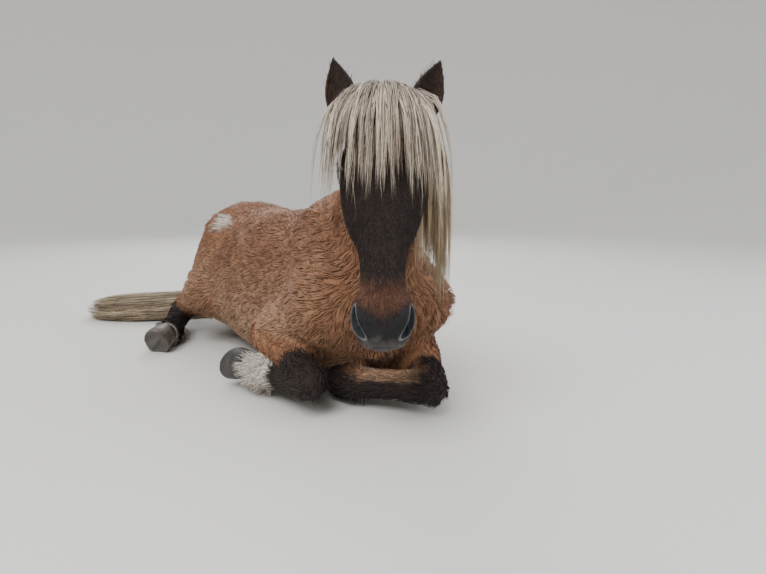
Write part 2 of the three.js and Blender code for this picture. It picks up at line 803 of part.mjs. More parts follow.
// Forelock: a thatch that fans out from the poll over the forehead and past the temples
const forelockLength = 250;
const forelockThickness = 8;
const forelockRows = [
  { count: 7, reachOut: 0.8, width: 30, clear: 7, share: 0.8 },
  { count: 11, reachOut: 0.95, width: 18, clear: 17, share: 1 },
];

function forelock(more) {
  seed = 23;
  const frame = headFrame.clone().multiply(new THREE.Matrix4().makeTranslation(0, -44, 16));
  const locks = [placed(new THREE.SphereGeometry(1, 12, 8).scale(54 + more, 34 + more, 27 + more), frame)];
  for (const { count, reachOut, width, clear, share } of forelockRows) {
    for (let i = 0; i < count; i++) {
      const spread = mix(-1, 1, (i + random(0.3, 0.7)) / count);
      const heading = headOut.clone().multiplyScalar(mix(0.9, 0.25, Math.abs(spread)));
      heading.addScaledVector(headAcross, spread * reachOut).addScaledVector(headDown, -0.12);
      const line = fallingLine({
        root: onHead(spread * 42, mix(-30, -50, Math.abs(spread)), 12),
        heading,
        length: forelockLength * share * random(0.84, 1.08),
        droop: 0.72,
        clear,
        field: skullField,
      });
      const facing = facingAlong(line, skullField);
      locks.push(lockOf(line, facing, width * random(0.85, 1.1) + more, forelockThickness + more));
    }
  }
  return joined(locks);
}

// Tail: the dock bends down behind the rump, and the hair lies along the floor to the right.
const tailRoot = point(-30, 1300, 420);
const tailCurve = new THREE.CatmullRomCurve3([
  tailRoot,
  point(-46, 1410, 330),
  point(-90, 1446, 170),
  point(-190, 1478, 76),
  point(-360, 1518, 60),
  point(-530, 1578, 56),
  point(-640, 1654, 50),
  point(-684, 1746, 38),
  point(-654, 1828, 26),
]);
const tailThickness = [28, 34, 46, 62, 70, 66, 56, 42, 20];

const tailCoreShare = 0.5;
const tailLocks = 12;
const tailLockThickness = 12;
const clearOfFloor = 7; // the lowest line of a lock, so that its underside stays whole

function readThickness(t) {
  const place = t * (tailThickness.length - 1);
  const i = Math.min(Math.floor(place), tailThickness.length - 2);
  return mix(tailThickness[i], tailThickness[i + 1], place - i);
}

function tailLock(turn) {
  const steps = 7;
  const coreReach = 0.25; // the root starts this deep in the tail's thickness
  const swirl = 0.9;
  const spread = random(0.78, 0.9);
  const facing = [];
  const line = spaced(random(0.12, 0.3), random(0.84, 1), steps + 1).map((t, i) => {
    const along = tailCurve.getTangent(t);
    const side = along.clone().cross(point(0, 0, 1)).normalize();
    const up = side.clone().cross(along);
    const thick = readThickness(t) * mix(coreReach, spread, Math.min(1, i / 3));
    const p = tailCurve.getPoint(t);
    const angle = turn + t * swirl;
    const outwards = side.multiplyScalar(Math.cos(angle)).addScaledVector(up, Math.sin(angle));
    facing.push(outwards);
    p.addScaledVector(outwards, thick);
    p.z = Math.max(p.z, clearOfFloor);
    return p;
  });
  return lockOf(line, facing, random(30, 36), tailLockThickness);
}

// The hair is parted where the dock bends down to the floor.
const dockEnd = 0.25;

function tail() {
  seed = 37;
  const coreJoints = spaced(0, tailCoreShare, 7).map((t) => [tailCurve.getPoint(t), readThickness(t) * 0.72]);
  const locks = [limb(coreJoints, { steps: 1, sides: 12, reference: point(1, 0.3, 0) })];
  for (let k = 0; k < tailLocks; k++) {
    const turn = (k / tailLocks) * 2 * Math.PI + random(-0.15, 0.15);
    locks.push(tailLock(turn));
  }
  return joined(locks);
}

// Assembly

const coat = {
  body: { color: 0xa9683f, roughness: 0.85 },
  dark: { color: 0x3a2b26, roughness: 0.8 },
  flaxen: { color: 0xb9a687, roughness: 0.7 },
  horn: { color: 0x3d3833, roughness: 0.5 },
  eye: { color: 0x120d0a, roughness: 0.1 },
};
const horse = new THREE.Group();

function addPart(name, solid, finish) {
  const material = new THREE.MeshStandardMaterial({ ...finish, metalness: 0 });
  const mesh = new THREE.Mesh(geometryOf(solid.subtract(belowFloor)), material);
  mesh.name = name;
  horse.add(mesh);
}

const torsoRoom = torsoSkin(seam);
const hindRoom = hindSkin(seam);
const neckRoom = neckSkin(seam);
const wholeHeadRoom = headSkin(seam);
const headRoom = wholeHeadRoom.subtract(behindHead);
const earRoom = joined([-1, 1].map((side) => earShell(side, 1)));
const socketRoom = (side) => placed(new THREE.SphereGeometry(eyeRadius + 6, 14, 9), eyeFrame(side));
const eyeRoom = joined([-1, 1].map(socketRoom));
// The hair's room runs across the gaps between the parts of the body.
const hairGap = 1;
const hairRoom = joined([torsoRoom, neckSkin(hairGap, 2), wholeHeadRoom, earRoom, eyeRoom]);

addPart("torso", torso, coat.body);
addPart("hindquarters", hindquarters, coat.body);
addPart("neck", neckSkin(0).subtract(headRoom), coat.body);
addPart("head", head, coat.dark);
for (const [name, side] of [["right", -1], ["left", 1]]) {
  const m = limbs[name];
  addPart(`ear_${name}`, ear(side).subtract(headRoom).subtract(neckRoom), coat.dark);
  addPart(`eye_${name}`, eyeball(side), coat.eye);
  const fore = foreLeg(m);
  const hoofRoom = fore.hoof;
  addPart(`forearm_${name}`, fore.forearm.subtract(torsoRoom), coat.body);
  addPart(`fore_cannon_${name}`, fore.cannon.subtract(hoofRoom).subtract(torsoRoom), coat.dark);
  addPart(`fore_hoof_${name}`, hoofRoom.subtract(torsoRoom), coat.horn);
  const hind = hindLeg(m);
  addPart(`gaskin_${name}`, hind.gaskin.subtract(hindRoom).subtract(torsoRoom), coat.body);
  const hindCannon = hind.cannon.subtract(hind.hoof).subtract(hindRoom).subtract(torsoRoom);
  addPart(`hind_cannon_${name}`, hindCannon, coat.dark);
  addPart(`hind_hoof_${name}`, hind.hoof.subtract(torsoRoom), coat.horn);
}

addPart("forelock", forelock(0).subtract(hairRoom), coat.flaxen);
addPart("mane", mane().subtract(hairRoom).subtract(forelock(0.5)), coat.flaxen);
const [dockPlace, dockDown] = [tailCurve.getPoint(dockEnd), tailCurve.getTangent(dockEnd)];
const wholeTail = tail().subtract(hindRoom);
addPart("tail_dock", wholeTail.subtract(blockBeyond(dockPlace, dockDown)), coat.flaxen);
dockPlace.addScaledVector(dockDown, seam);
addPart("tail", wholeTail.subtract(blockBeyond(dockPlace, dockDown.clone().negate())), coat.flaxen);

// The origin is on the floor under the middle of the belly.
horse.position.y = -600;

export default horse;
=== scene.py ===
# %% [markdown]
# # An Icelandic horse lying down, as a museum model
# The solids from CAD give the size and the pose. This script dresses them: one skin, a thick winter coat
# of small tufts, long hair for forelock, mane and tail, and finer eyes, lids, hooves and whiskers.

import math

import bmesh
import bpy
import numpy as np
from mathutils import Matrix, Vector
from mathutils.bvhtree import BVHTree
from mathutils.kdtree import KDTree


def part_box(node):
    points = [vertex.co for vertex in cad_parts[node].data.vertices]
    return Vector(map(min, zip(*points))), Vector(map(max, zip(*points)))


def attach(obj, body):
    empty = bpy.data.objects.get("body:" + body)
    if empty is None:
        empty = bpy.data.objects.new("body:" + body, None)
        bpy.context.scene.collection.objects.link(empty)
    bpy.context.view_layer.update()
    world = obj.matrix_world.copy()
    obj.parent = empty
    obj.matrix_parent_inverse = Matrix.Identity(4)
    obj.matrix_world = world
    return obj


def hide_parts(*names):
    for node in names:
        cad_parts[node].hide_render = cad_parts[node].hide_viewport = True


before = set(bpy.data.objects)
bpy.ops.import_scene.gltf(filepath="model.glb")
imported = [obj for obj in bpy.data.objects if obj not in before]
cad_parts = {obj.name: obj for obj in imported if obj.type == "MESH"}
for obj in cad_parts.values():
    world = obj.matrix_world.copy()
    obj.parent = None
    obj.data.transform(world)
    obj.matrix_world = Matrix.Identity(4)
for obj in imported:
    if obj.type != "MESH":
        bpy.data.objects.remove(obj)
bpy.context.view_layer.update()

# %% [markdown]
# # Camera, floor and light
# The camera stands low in front of the horse and a little to its right, tipped down by nine degrees, with
# a wide lens, so that the head is large and the body runs away behind it. The floor is plain and pale, and
# three large soft lights stand for an overcast sky.


# %% Camera
def shown(name, data):
    """A new object of the scene that holds this data."""
    made = bpy.data.objects.new(name, data)
    bpy.context.scene.collection.objects.link(made)
    return made


camera_data = bpy.data.cameras.new("camera")
camera_data.lens = 26.98
camera_data.sensor_width = 36
camera_data.sensor_fit = "HORIZONTAL"
camera_data.clip_end = 200
camera = shown("camera", camera_data)
camera.location = (-0.751, -2.013, 0.600)
camera.rotation_euler = (math.radians(90 - 9.1), 0, math.radians(-28))
bpy.context.scene.camera = camera
print("camera:", camera_data.lens, "mm lens, tipped down 9.1 degrees")


# %% Floor
# A flat disc whose rim curves up all round, spun from one profile, so that no horizon shows.
def material(name, roughness, specular=0.5):
    made = bpy.data.materials.new(name)
    made.use_nodes = True
    shader = made.node_tree.nodes["Principled BSDF"]
    shader.inputs["Roughness"].default_value = roughness
    shader.inputs["Specular IOR Level"].default_value = specular
    return made, made.node_tree, shader


def mesh_of(maker, name):
    mesh = bpy.data.meshes.new(name)
    maker.to_mesh(mesh)
    maker.free()
    return mesh


flat_radius, rim_radius = 7, 4
profile = [(0.001, 0.0), (4.0, 0.0), (flat_radius, 0.0)]
for bend in np.radians(range(10, 91, 10)):
    profile.append((flat_radius + rim_radius * math.sin(bend), rim_radius * (1 - math.cos(bend))))
profile.append((flat_radius + rim_radius, 8.0))
maker = bmesh.new()
line = [maker.verts.new((x, 0, z)) for x, z in profile]
spokes = [maker.edges.new(pair) for pair in zip(line, line[1:])]
bmesh.ops.spin(maker, geom=line + spokes, cent=(0, 0, 0), axis=(0, 0, 1), angle=2 * math.pi, steps=72,
               use_merge=True)
bmesh.ops.contextual_create(maker, geom=[v for v in maker.verts if v.co.xy.length < 0.01])
bmesh.ops.recalc_face_normals(maker, faces=maker.faces[:])
if sum(face.normal.z * face.calc_area() for face in maker.faces) < 0:
    bmesh.ops.reverse_faces(maker, faces=maker.faces[:])
for face in maker.faces:
    face.smooth = True
floor = shown("floor", mesh_of(maker, "floor"))
floor_paint, _, shader = material("floor_paint", 0.9)
shader.inputs["Base Color"].default_value = (0.66, 0.64, 0.61, 1)
floor.data.materials.append(floor_paint)
print("floor:", len(floor.data.polygons), "faces")

# %% Soft lights
for name, place, aim, power, colour in [
    ("key", (-3.0, -2.6, 4.4), (0, 0, 0.4), 270, (1, 1, 1)),
    ("fill", (3.6, -3.0, 2.6), (0, 0, 0.4), 90, (0.93, 0.96, 1)),
    ("back", (1.5, 4.6, 3.8), (0, 0.3, 0.5), 150, (1, 1, 1)),
]:
    data = bpy.data.lights.new(name, "AREA")
    data.size, data.energy, data.color = 3.0, power, colour
    lamp = shown(name, data)
    lamp.location = place
    lamp.rotation_euler = (Vector(aim) - Vector(place)).to_track_quat("-Z", "Y").to_euler()
    print("light:", name, power, "W")

sky = bpy.data.worlds.new("sky")
bpy.context.scene.world = sky
sky.use_nodes = True
sky.node_tree.nodes["Background"].inputs["Color"].default_value = (0.86, 0.89, 0.93, 1)
sky.node_tree.nodes["Background"].inputs["Strength"].default_value = 1.25

# %% [markdown]
# # Where things are on the horse
# The head has its own directions: across to the horse's left, out of the face, and down the face from the
# poll. The joints of the legs are the points that the solids were built from. With them, any point of the
# skin can be given its coat: how long, which way it lies, and how dark.

# %% The head's directions
head_turn, nose_forward = math.radians(28), math.radians(11)
poll = np.array([-0.136, -0.856, 0.838])
facing = np.array([-math.sin(head_turn), -math.cos(head_turn), 0])
head_across = np.array([math.cos(head_turn), -math.sin(head_turn), 0])
upright = np.array([0, 0, 1.0])
head_out = facing * math.cos(nose_forward) + upright * math.sin(nose_forward)
head_down = facing * math.sin(nose_forward) - upright * math.cos(nose_forward)
head_axes = np.array([head_across, head_out, head_down])


def in_head(points):
    """Distances across, out and down in the head, in metres."""
    return (np.asarray(points) - poll) @ head_axes.T


def on_head(across, out, down):
    """The point of the model at these distances in the head."""
    return poll + across * head_across + out * head_out + down * head_down


sides = ((-1, "right"), (1, "left"))
eye_places = {side: on_head(sign * 0.074, -0.038, 0.172) for sign, side in sides}
nostril_places = {side: on_head(sign * 0.050, -0.026, 0.519) for sign, side in sides}
print("eyes at", eye_places)


# %% Joints of the legs
# Millimetres from the point between the fore legs, as in the solids; the origin is 600 behind it.
def body_point(x, y, z):
    return np.array([x, y - 600, z]) / 1000


def unit(vectors):
    return vectors / np.maximum(np.linalg.norm(vectors, axis=-1, keepdims=True), 1e-9)


# From elbow or stifle over knee or hock, fetlock and pastern to the toe
leg_lines = {
    "fore_right": [(-232, 300, 164), (-226, 6, 96), (-286, 236, 74), (-314, 304, 74), (-344, 380, 70)],
    "fore_left": [(214, 215, 150), (74, -140, 78), (-92, 44, 68), (-72, 118, 54), (-48, 205, 52)],
    "hind_right": [(-302, 935, 215), (-346, 1285, 92), (-446, 1012, 48), (-474, 946, 54), (-526, 862, 38)],
    "hind_left": [(290, 945, 150), (284, 1285, 80), (362, 1020, 44), (384, 950, 48), (416, 860, 36)],
}
leg_lines = {leg: [body_point(*place) for place in line] for leg, line in leg_lines.items()}
legs_of_flesh = [f"{part}_{side}" for part in ("forearm", "gaskin", "fore_cannon", "hind_cannon")
                 for side in ("right", "left")]
flesh = ["torso", "hindquarters", "neck", "head"] + legs_of_flesh
print("solids of flesh:", flesh)

# %% [markdown]
# # One skin
# A stuffed horse has one hide with no joins. Copies of the solids of flesh are grown by a millimetre, so
# that they run into one another, and a voxel remesh turns them into one even surface. The head is then cut
# finer and laid back on the solid's face, because lids, lips and nostrils are smaller than a voxel.


# %% Rough skin
def merged_copy(names, grow=0.0):
    """A bmesh of copies of solids, with the loose triangles merged, grown a little along its normals."""
    maker = bmesh.new()
    for name in names:
        maker.from_mesh(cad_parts[name].data)
    bmesh.ops.remove_doubles(maker, verts=maker.verts[:], dist=1e-5)
    maker.normal_update()
    for vert in maker.verts:
        vert.co += vert.normal * grow
    return maker


def remeshed(maker, voxel):
    """A mesh of small even faces with the shape of a bmesh."""
    work = shown("work", mesh_of(maker, "work"))
    modifier = work.modifiers.new("remesh", "REMESH")
    modifier.mode = "VOXEL"
    modifier.voxel_size = voxel
    graph = bpy.context.evaluated_depsgraph_get()
    made = bpy.data.meshes.new_from_object(work.evaluated_get(graph))
    bpy.data.objects.remove(work)
    return made


rough = remeshed(merged_copy(flesh, grow=0.001), 0.0085)
print("rough skin:", len(rough.polygons), "faces")


# %% Reading and easing a mesh
def rows_of(items, field, width, kind=np.float32):
    """One field of a mesh's items as an array with a row for each."""
    flat = np.empty(len(items) * width, kind)
    items.foreach_get(field, flat)
    return flat.reshape(-1, width)


def points_of(mesh):
    return rows_of(mesh.vertices, "co", 3).astype(float)


def normals_of(mesh):
    return rows_of(mesh.vertex_normals, "vector", 3).astype(float)


def edges_of(mesh):
    return rows_of(mesh.edges, "vertices", 2, np.int32)


def set_points(mesh, points):
    mesh.vertices.foreach_set("co", np.asarray(points, np.float32).ravel())
    mesh.update()


def eased(values, edges, rounds, share=0.5):
    """Values at a mesh's points, each drawn towards its neighbours' mean by a share that may vary."""
    a, b = edges[:, 0], edges[:, 1]
    count = len(values)
    neighbours = np.maximum(np.bincount(a, minlength=count) + np.bincount(b, minlength=count), 1)
    share = np.broadcast_to(share, (count,))
    values = values.reshape(count, -1).copy()
    for _ in range(rounds):
        for column in range(values.shape[1]):
            v = values[:, column]
            total = np.bincount(a, v[b], count) + np.bincount(b, v[a], count)
            values[:, column] = v + share * (total / neighbours - v)
    return values[:, 0] if values.shape[1] == 1 else values


def eased_full(points, edges, rounds, share):
    """Points smoothed without thinning: what the smoothing took away is smoothed itself and given back."""
    even = eased(points, edges, rounds, share)
    return even + eased(points - even, edges, rounds, share)


print("neighbours of the rough skin's points:", round(2 * len(rough.edges) / len(rough.vertices), 2))


# %% Finer on the head
def cut_finer(maker, wanted):
    """Cuts every edge in two whose ends are both wanted; wanted takes an array of points."""
    chosen = wanted(np.array([vert.co[:] for vert in maker.verts]))
    maker.verts.ensure_lookup_table()
    edges = [e for e in maker.edges if chosen[e.verts[0].index] and chosen[e.verts[1].index]]
    bmesh.ops.subdivide_edges(maker, edges=edges, cuts=1, use_grid_fill=True)
    maker.verts.index_update()


def is_head(points):
    across, out, down = in_head(points).T
    return (down > -0.02) & (out > -0.20 - 0.1 * down) & (np.abs(across) < 0.11)


def is_fine_face(points):
    near_eye = np.min([np.linalg.norm(points - p, axis=1) for p in eye_places.values()], axis=0) < 0.042
    return near_eye | (in_head(points)[:, 2] > 0.462)


skin_maker = bmesh.new()
skin_maker.from_mesh(rough)
cut_finer(skin_maker, is_head)
cut_finer(skin_maker, is_fine_face)
skin_mesh = mesh_of(skin_maker, "skin")
edges = edges_of(skin_mesh)
print("skin:", len(skin_mesh.polygons), "faces")

# %% Which solid lies under each point
points = points_of(skin_mesh)
reach_limit = 0.05
distances = np.full((len(points), len(flesh)), reach_limit)
for column, name in enumerate(flesh):
    copy = merged_copy([name])
    tree = BVHTree.FromBMesh(copy)
    copy.free()
    if name == "head":
        face_tree = tree
    box_low, box_high = (np.array(corner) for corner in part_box(name))
    inside = np.all((points > box_low - 0.02) & (points < box_high + 0.02), axis=1)
    for i in np.nonzero(inside)[0]:
        hit = tree.find_nearest(points[i], reach_limit)
        if hit[0] is not None:
            distances[i, column] = hit[3]
owner = np.argmin(distances, axis=1)
belongs = {name: (owner == column).astype(float) for column, name in enumerate(flesh)}
head_share = eased(belongs["head"], edges, 12)
leg_share = eased(sum(belongs[name] for name in legs_of_flesh), edges, 8)
toe_share = eased(sum(belongs[name] for name in legs_of_flesh if "cannon" in name), edges, 8)
body_share = np.clip(1 - head_share - leg_share, 0, 1)
upper_leg = np.clip(leg_share - toe_share, 0, 1)
print("skin points by solid:", {name: int(part.sum()) for name, part in belongs.items()})

# %% Smoothing, and the face laid back on its solid
# The body is smoothed most, so that neck, shoulder and haunch flow into one another.
joins = np.clip(2.5 * eased(((distances < 0.012).sum(axis=1) > 1).astype(float), edges, 22), 0, 1)
smooth_points = eased(points, edges, 10, 0.15 + 0.4 * body_share)
smooth_points = eased_full(smooth_points, edges, 70, 0.65 * joins * (1 - 0.6 * leg_share) * (1 - head_share))
laid = smooth_points.copy()
for i in np.nonzero(head_share > 0.5)[0]:
    hit = face_tree.find_nearest(points[i], reach_limit)
    if hit[0] is not None:
        hold = min(1, (head_share[i] - 0.5) * 4)
        laid[i] = smooth_points[i] * (1 - hold) + np.array(hit[0]) * hold
laid = eased(laid, edges, 4, 0.5 * np.clip(head_share * 2, 0, 1))
set_points(skin_mesh, laid)
print("smoothing moved the skin by up to", round(float(np.linalg.norm(laid - points, axis=1).max()), 4), "m")

# %% [markdown]
# # Modelling the face
# Bone lies close under the skin of a horse's face, so small hollows and ridges give it life: the hollow
# above the eye, the lids, the crest of the cheek, the nostrils with their raised wings and the line between
# the lips. They are pushed in and out along the skin's normals.

# %% Hollows and ridges
eye_radius = 0.020
lid_thickness = 0.003


def bump_at(places, centre, radii, axes=head_axes):
    """One in the middle of a spot, fading to nothing at its edge."""
    q = ((places - centre) @ axes.T) / np.array(radii)
    return np.exp(-np.sum(q * q, axis=1))


points = points_of(skin_mesh)
normals = normals_of(skin_mesh)
across, out, down = in_head(points).T
push = np.zeros(len(points))
for sign, side in sides:
    for centre, radii, depth in [
        ((sign * 0.060, -0.020, 0.122), (0.016, 0.03, 0.014), -0.0045),  # hollow above the eye
        ((sign * 0.070, -0.020, 0.146), (0.016, 0.02, 0.008), 0.0030),  # brow
        ((sign * 0.066, -0.046, 0.250), (0.012, 0.012, 0.055), 0.0020),  # crest of the cheek
        ((sign * 0.050, -0.076, 0.330), (0.02, 0.016, 0.05), -0.0025),  # hollow under it
        ((sign * 0.034, -0.016, 0.400), (0.010, 0.02, 0.06), -0.0018),  # beside the bone of the nose
    ]:
        push += depth * bump_at(points, on_head(*centre), radii)
    clear_of_eye = 1 - 0.9 * bump_at(points, eye_places[side], (0.035, 0.035, 0.035))
    muscle_of_cheek = bump_at(points, on_head(sign * 0.070, -0.085, 0.262), (0.05, 0.070, 0.085))
    push += 0.016 * muscle_of_cheek * clear_of_eye
# A fold of skin closes the gap between the breast and the left fore leg.
push += 0.026 * bump_at(points, np.array([0.082, -0.535, 0.090]), (0.045, 0.045, 0.045)) * (1 - toe_share)
print("pushed by", push.min().round(4), "to", push.max().round(4), "m")


# %% Nostrils and lips
def nostril_axes(sign):
    """Across, along and outwards of one nostril."""
    look = unit(head_across * sign * 0.60 + head_out * 0.78 + head_down * 0.12)
    across = unit(np.cross(head_down - head_across * sign * 0.3, look))
    return np.array([across, np.cross(look, across), look])


nostril_and_lip_shade, nostril_rim_highlight, lid_mark = np.zeros((3, len(points)))
for sign, side in sides:
    q = (points - nostril_places[side]) @ nostril_axes(sign).T
    bend = q[:, 0] + sign * 0.007 * (1 - (q[:, 1] / 0.034) ** 2)
    inside = (bend / 0.0115) ** 2 + (q[:, 1] / 0.033) ** 2
    near = np.abs(q[:, 2]) < 0.04
    hole = np.where(near, np.clip(1.25 - inside, 0, 1), 0)
    rim = np.where(near, np.exp(-((np.sqrt(inside) - 1.22) / 0.17) ** 2), 0)
    push += -0.015 * hole**0.7 + 0.0030 * rim
    # The hollow of each nostril is kept as a mask where painted shade goes, and no coat grows there.
    nostril_and_lip_shade = np.maximum(nostril_and_lip_shade, np.clip(hole * 2.2, 0, 1))
    # The rim of each nostril is kept as a mask for a painted highlight.
    nostril_rim_highlight = np.maximum(nostril_rim_highlight, rim)
below_mouth = down - 0.590 - (out + 0.076) * math.tan(math.radians(-14))
lips = np.exp(-((below_mouth / 0.0035) ** 2)) * (head_share > 0.6) * (out > -0.125) * (down > 0.48)
upper_lip = np.exp(-(((below_mouth + 0.009) / 0.006) ** 2)) * (head_share > 0.6) * (down > 0.5)
push += 0.0015 * upper_lip - 0.0030 * lips
# The line between the lips joins that mask, as painted shade in the crease.
nostril_and_lip_shade = np.maximum(nostril_and_lip_shade, 0.55 * lips)
points = points + normals * push[:, None]
print("points in nostrils and mouth:", int((nostril_and_lip_shade > 0.5).sum()))


# %% Openings of the eyes
# The lids close over the eyeball and leave an almond open.
def eye_axes(sign):
    """Across, up and outwards of one eye."""
    look = unit(head_across * sign * 0.84 + head_out * 0.52 + head_down * 0.12)
    across = unit(np.cross(-head_down + head_out * 0.35, look))
    return np.array([across, np.cross(look, across), look])


def almond_height(x, width, high, low):
    """Upper and lower edge of the opening of an eye, x across it."""
    t = np.clip(x / width, -1, 1)
    return high * (1 - t * t) * (1 - 0.25 * t), -low * (1 - t * t) * (1 + 0.2 * t)


for sign, side in sides:
    q = (points - eye_places[side]) @ eye_axes(sign).T
    reach = np.linalg.norm(q, axis=1)
    upper, lower = almond_height(q[:, 0], 0.0175, 0.0105, 0.009)
    opening = (q[:, 2] > 0) & (q[:, 1] < upper) & (q[:, 1] > lower) & (np.abs(q[:, 0]) < 0.0175)
    covered = (q[:, 2] > 0) & (reach < eye_radius + 0.012)
    target = np.where(opening, eye_radius - 0.005, eye_radius + lid_thickness)
    fade = np.clip((eye_radius + 0.012 - reach) / 0.008, 0, 1)
    aim = eye_places[side] + (points - eye_places[side]) * (target / np.maximum(reach, 1e-6))[:, None]
    points = points + (aim - points) * (np.where(opening, 1.0, fade) * covered)[:, None]
    lid_mark = np.maximum(lid_mark, np.clip((0.030 - reach) / 0.006, 0, 1))
    print(side, "eye:", int(opening.sum()), "points in the opening")
set_points(skin_mesh, points)

# %% [markdown]
# # A place for the coat
# The hide lies inside the solids by the depth of the coat, eight millimetres on the body and one on
# the face, so that the tips of the tufts end where the solids do.

# %% Depth of the coat
coat_depth = 0.008 * body_share + 0.001 * head_share + 0.006 * upper_leg + 0.003 * toe_share
points = points - normals_of(skin_mesh) * coat_depth[:, None]
points[:, 2] = np.maximum(points[:, 2], 0.002)
set_points(skin_mesh, points)
print("depth of the coat:", coat_depth.min().round(4), "to", coat_depth.max().round(4), "m")


# %% Ears
# Each ear is remeshed by itself, because its wall is thinner than a voxel of the body, and is joined on.
def joined_meshes(meshes, name):
    maker = bmesh.new()
    for mesh in meshes:
        maker.from_mesh(mesh)
    return mesh_of(maker, name)


def lengthened(values, ear_value=0.0):
    """Values of the skin without ears, with one value for the ears' points."""
    shape = (count - body_count,) + values.shape[1:]
    return np.concatenate([values, np.broadcast_to(ear_value, shape)])


ear_meshes = [remeshed(merged_copy([f"ear_{side}"]), 0.0028) for _, side in sides]
for ear in ear_meshes:
    set_points(ear, eased(points_of(ear), edges_of(ear), 6))
body_count = len(skin_mesh.vertices)
skin_mesh = joined_meshes([skin_mesh] + ear_meshes, "skin")
skin_mesh.polygons.foreach_set("use_smooth", np.ones(len(skin_mesh.polygons), bool))
skin = shown("skin", skin_mesh)
points, normals = points_of(skin_mesh), normals_of(skin_mesh)
count = len(points)
is_ear = np.arange(count) >= body_count
head_share, body_share, upper_leg, toe_share, nostril_and_lip_shade, nostril_rim_highlight, lid_mark = map(
    lengthened, (head_share, body_share, upper_leg, toe_share, nostril_and_lip_shade, nostril_rim_highlight, lid_mark))
print("skin with ears:", len(skin_mesh.polygons), "faces")

# %% Unwrapping the skin
bpy.context.view_layer.objects.active = skin
skin.select_set(True)
skin_mesh.uv_layers.new(name="OFBake")
bpy.ops.object.mode_set(mode="EDIT")
bpy.ops.mesh.select_all(action="SELECT")
bpy.ops.uv.smart_project(angle_limit=math.radians(66), island_margin=0.0015)
bpy.ops.object.mode_set(mode="OBJECT")
skin_mesh = skin.data
print("unwrapped:", len(skin_mesh.loops), "corners")

# %% [markdown]
# # Which way the coat lies, and its markings
# Hair lies away from the nose: back along the trunk and down its sides, down and back on the neck, down
# the face, and along each leg to its foot. Each part of the skin gets its direction, the directions are
# blended where parts meet, and they are then laid flat on the skin.

# %% Lie of the coat
ways = {"torso": np.array([0, 1, -0.35]), "hindquarters": np.array([0, 1, -0.55]),
        "neck": np.array([0.05, 0.75, -0.75]), "head": head_down - head_out * 0.15}
for leg, line in leg_lines.items():
    kind, side = leg.split("_")
    ways[f"forearm_{side}" if kind == "fore" else f"gaskin_{side}"] = unit(line[1] - line[0])
    ways[f"{kind}_cannon_{side}"] = unit(line[3] - line[1])
lie = eased(sum(np.outer(belongs[name], way) for name, way in ways.items()), edges, 30)
ear_up = unit(-head_down * 0.95 + head_out * 0.14)
lie = lengthened(lie, ear_up)
lie = unit(lie - normals * np.sum(lie * normals, axis=1, keepdims=True))
print("ways of the coat:", sorted(ways))


# %% Markings
# Dark face and feet, a russet band above the nostrils, sandy flank and belly, two pale pasterns and a
# whitish patch on the right hip, and painted light on the upper side of the left fore cannon.
def spot(centre, radius, softness=0.35):
    """One inside a ball, fading out over a share of its radius."""
    reach = np.linalg.norm(points - centre, axis=1) / radius
    return np.clip((1 - reach) / softness + 0.5, 0, 1)


across, out, down = in_head(points).T
# The face's dark colour fades out over the cheek and under the forelock.
dark = np.clip(head_share * 1.6 - 0.2, 0, 1) * np.clip((out + 0.215) / 0.10, 0, 1)
dark *= np.clip((down - 0.005) / 0.06, 0.25, 1)
for leg, line in leg_lines.items():
    knee = spot(line[1], 0.12 if leg.startswith("fore") else 0.10)
    dark = np.maximum(dark, knee * (upper_leg + toe_share))
dark = np.maximum(dark, np.clip(toe_share * 1.5, 0, 1))
# The upper side of the left fore cannon is lighter where it faces up: painted light from above.
lit_cannon_top = spot(np.array([-0.03, -0.66, 0.10]), 0.12, 0.8) * np.clip(1.3 * normals[:, 2], 0.12, 1)
dark *= 1 - 0.62 * lit_cannon_top
# Ears are dark, and tan behind at their base.
from_back = np.clip(0.35 - normals @ head_out, 0, 1)
low_on_ear = 1 - np.clip((-0.020 - down) / 0.045, 0, 1)
dark = np.where(is_ear, 0.92 - 0.75 * low_on_ear * np.clip(from_back * 1.6, 0, 1), dark)

muzzle = head_share * np.clip((down - 0.512 + 0.75 * np.abs(across)) / 0.022, 0, 1)
chin = muzzle * np.clip((down - 0.545) / 0.045, 0, 0.7)
russet = head_share * np.exp(-(((down - 0.470 + 0.4 * np.abs(across)) / 0.036) ** 2))
russet *= np.clip((out + 0.09) / 0.05, 0, 1)
pale = body_share * np.clip((0.42 - points[:, 2]) / 0.30, 0, 1) * np.clip(1.2 - np.abs(normals[:, 1]), 0, 1)
pale = np.maximum(pale, 0.8 * toe_share * spot(body_point(10, -60, 110), 0.10))
sock = spot(np.array([-0.302, -0.375, 0.080]), 0.088)
white = np.maximum(sock, 0.6 * spot(leg_lines["hind_right"][3], 0.06)) * np.clip(toe_share * 2, 0, 1)
white = np.maximum(white, 0.75 * spot(np.array([-0.217, 0.360, 0.492]), 0.042, 1.0))
markings = [dark, pale, white, russet]


def put_colours(mesh, name, channels):
    """Four numbers at each point of a mesh, as a colour attribute that the materials read."""
    attribute = mesh.color_attributes.new(name, "FLOAT_COLOR", "POINT")
    attribute.data.foreach_set("color", np.stack(channels, axis=-1).astype(np.float32).ravel())


put_colours(skin_mesh, "marks", markings)
put_colours(skin_mesh, "face", [muzzle, nostril_and_lip_shade, nostril_rim_highlight, chin])
print("dark share of the skin:", round(float(dark.mean()), 3))
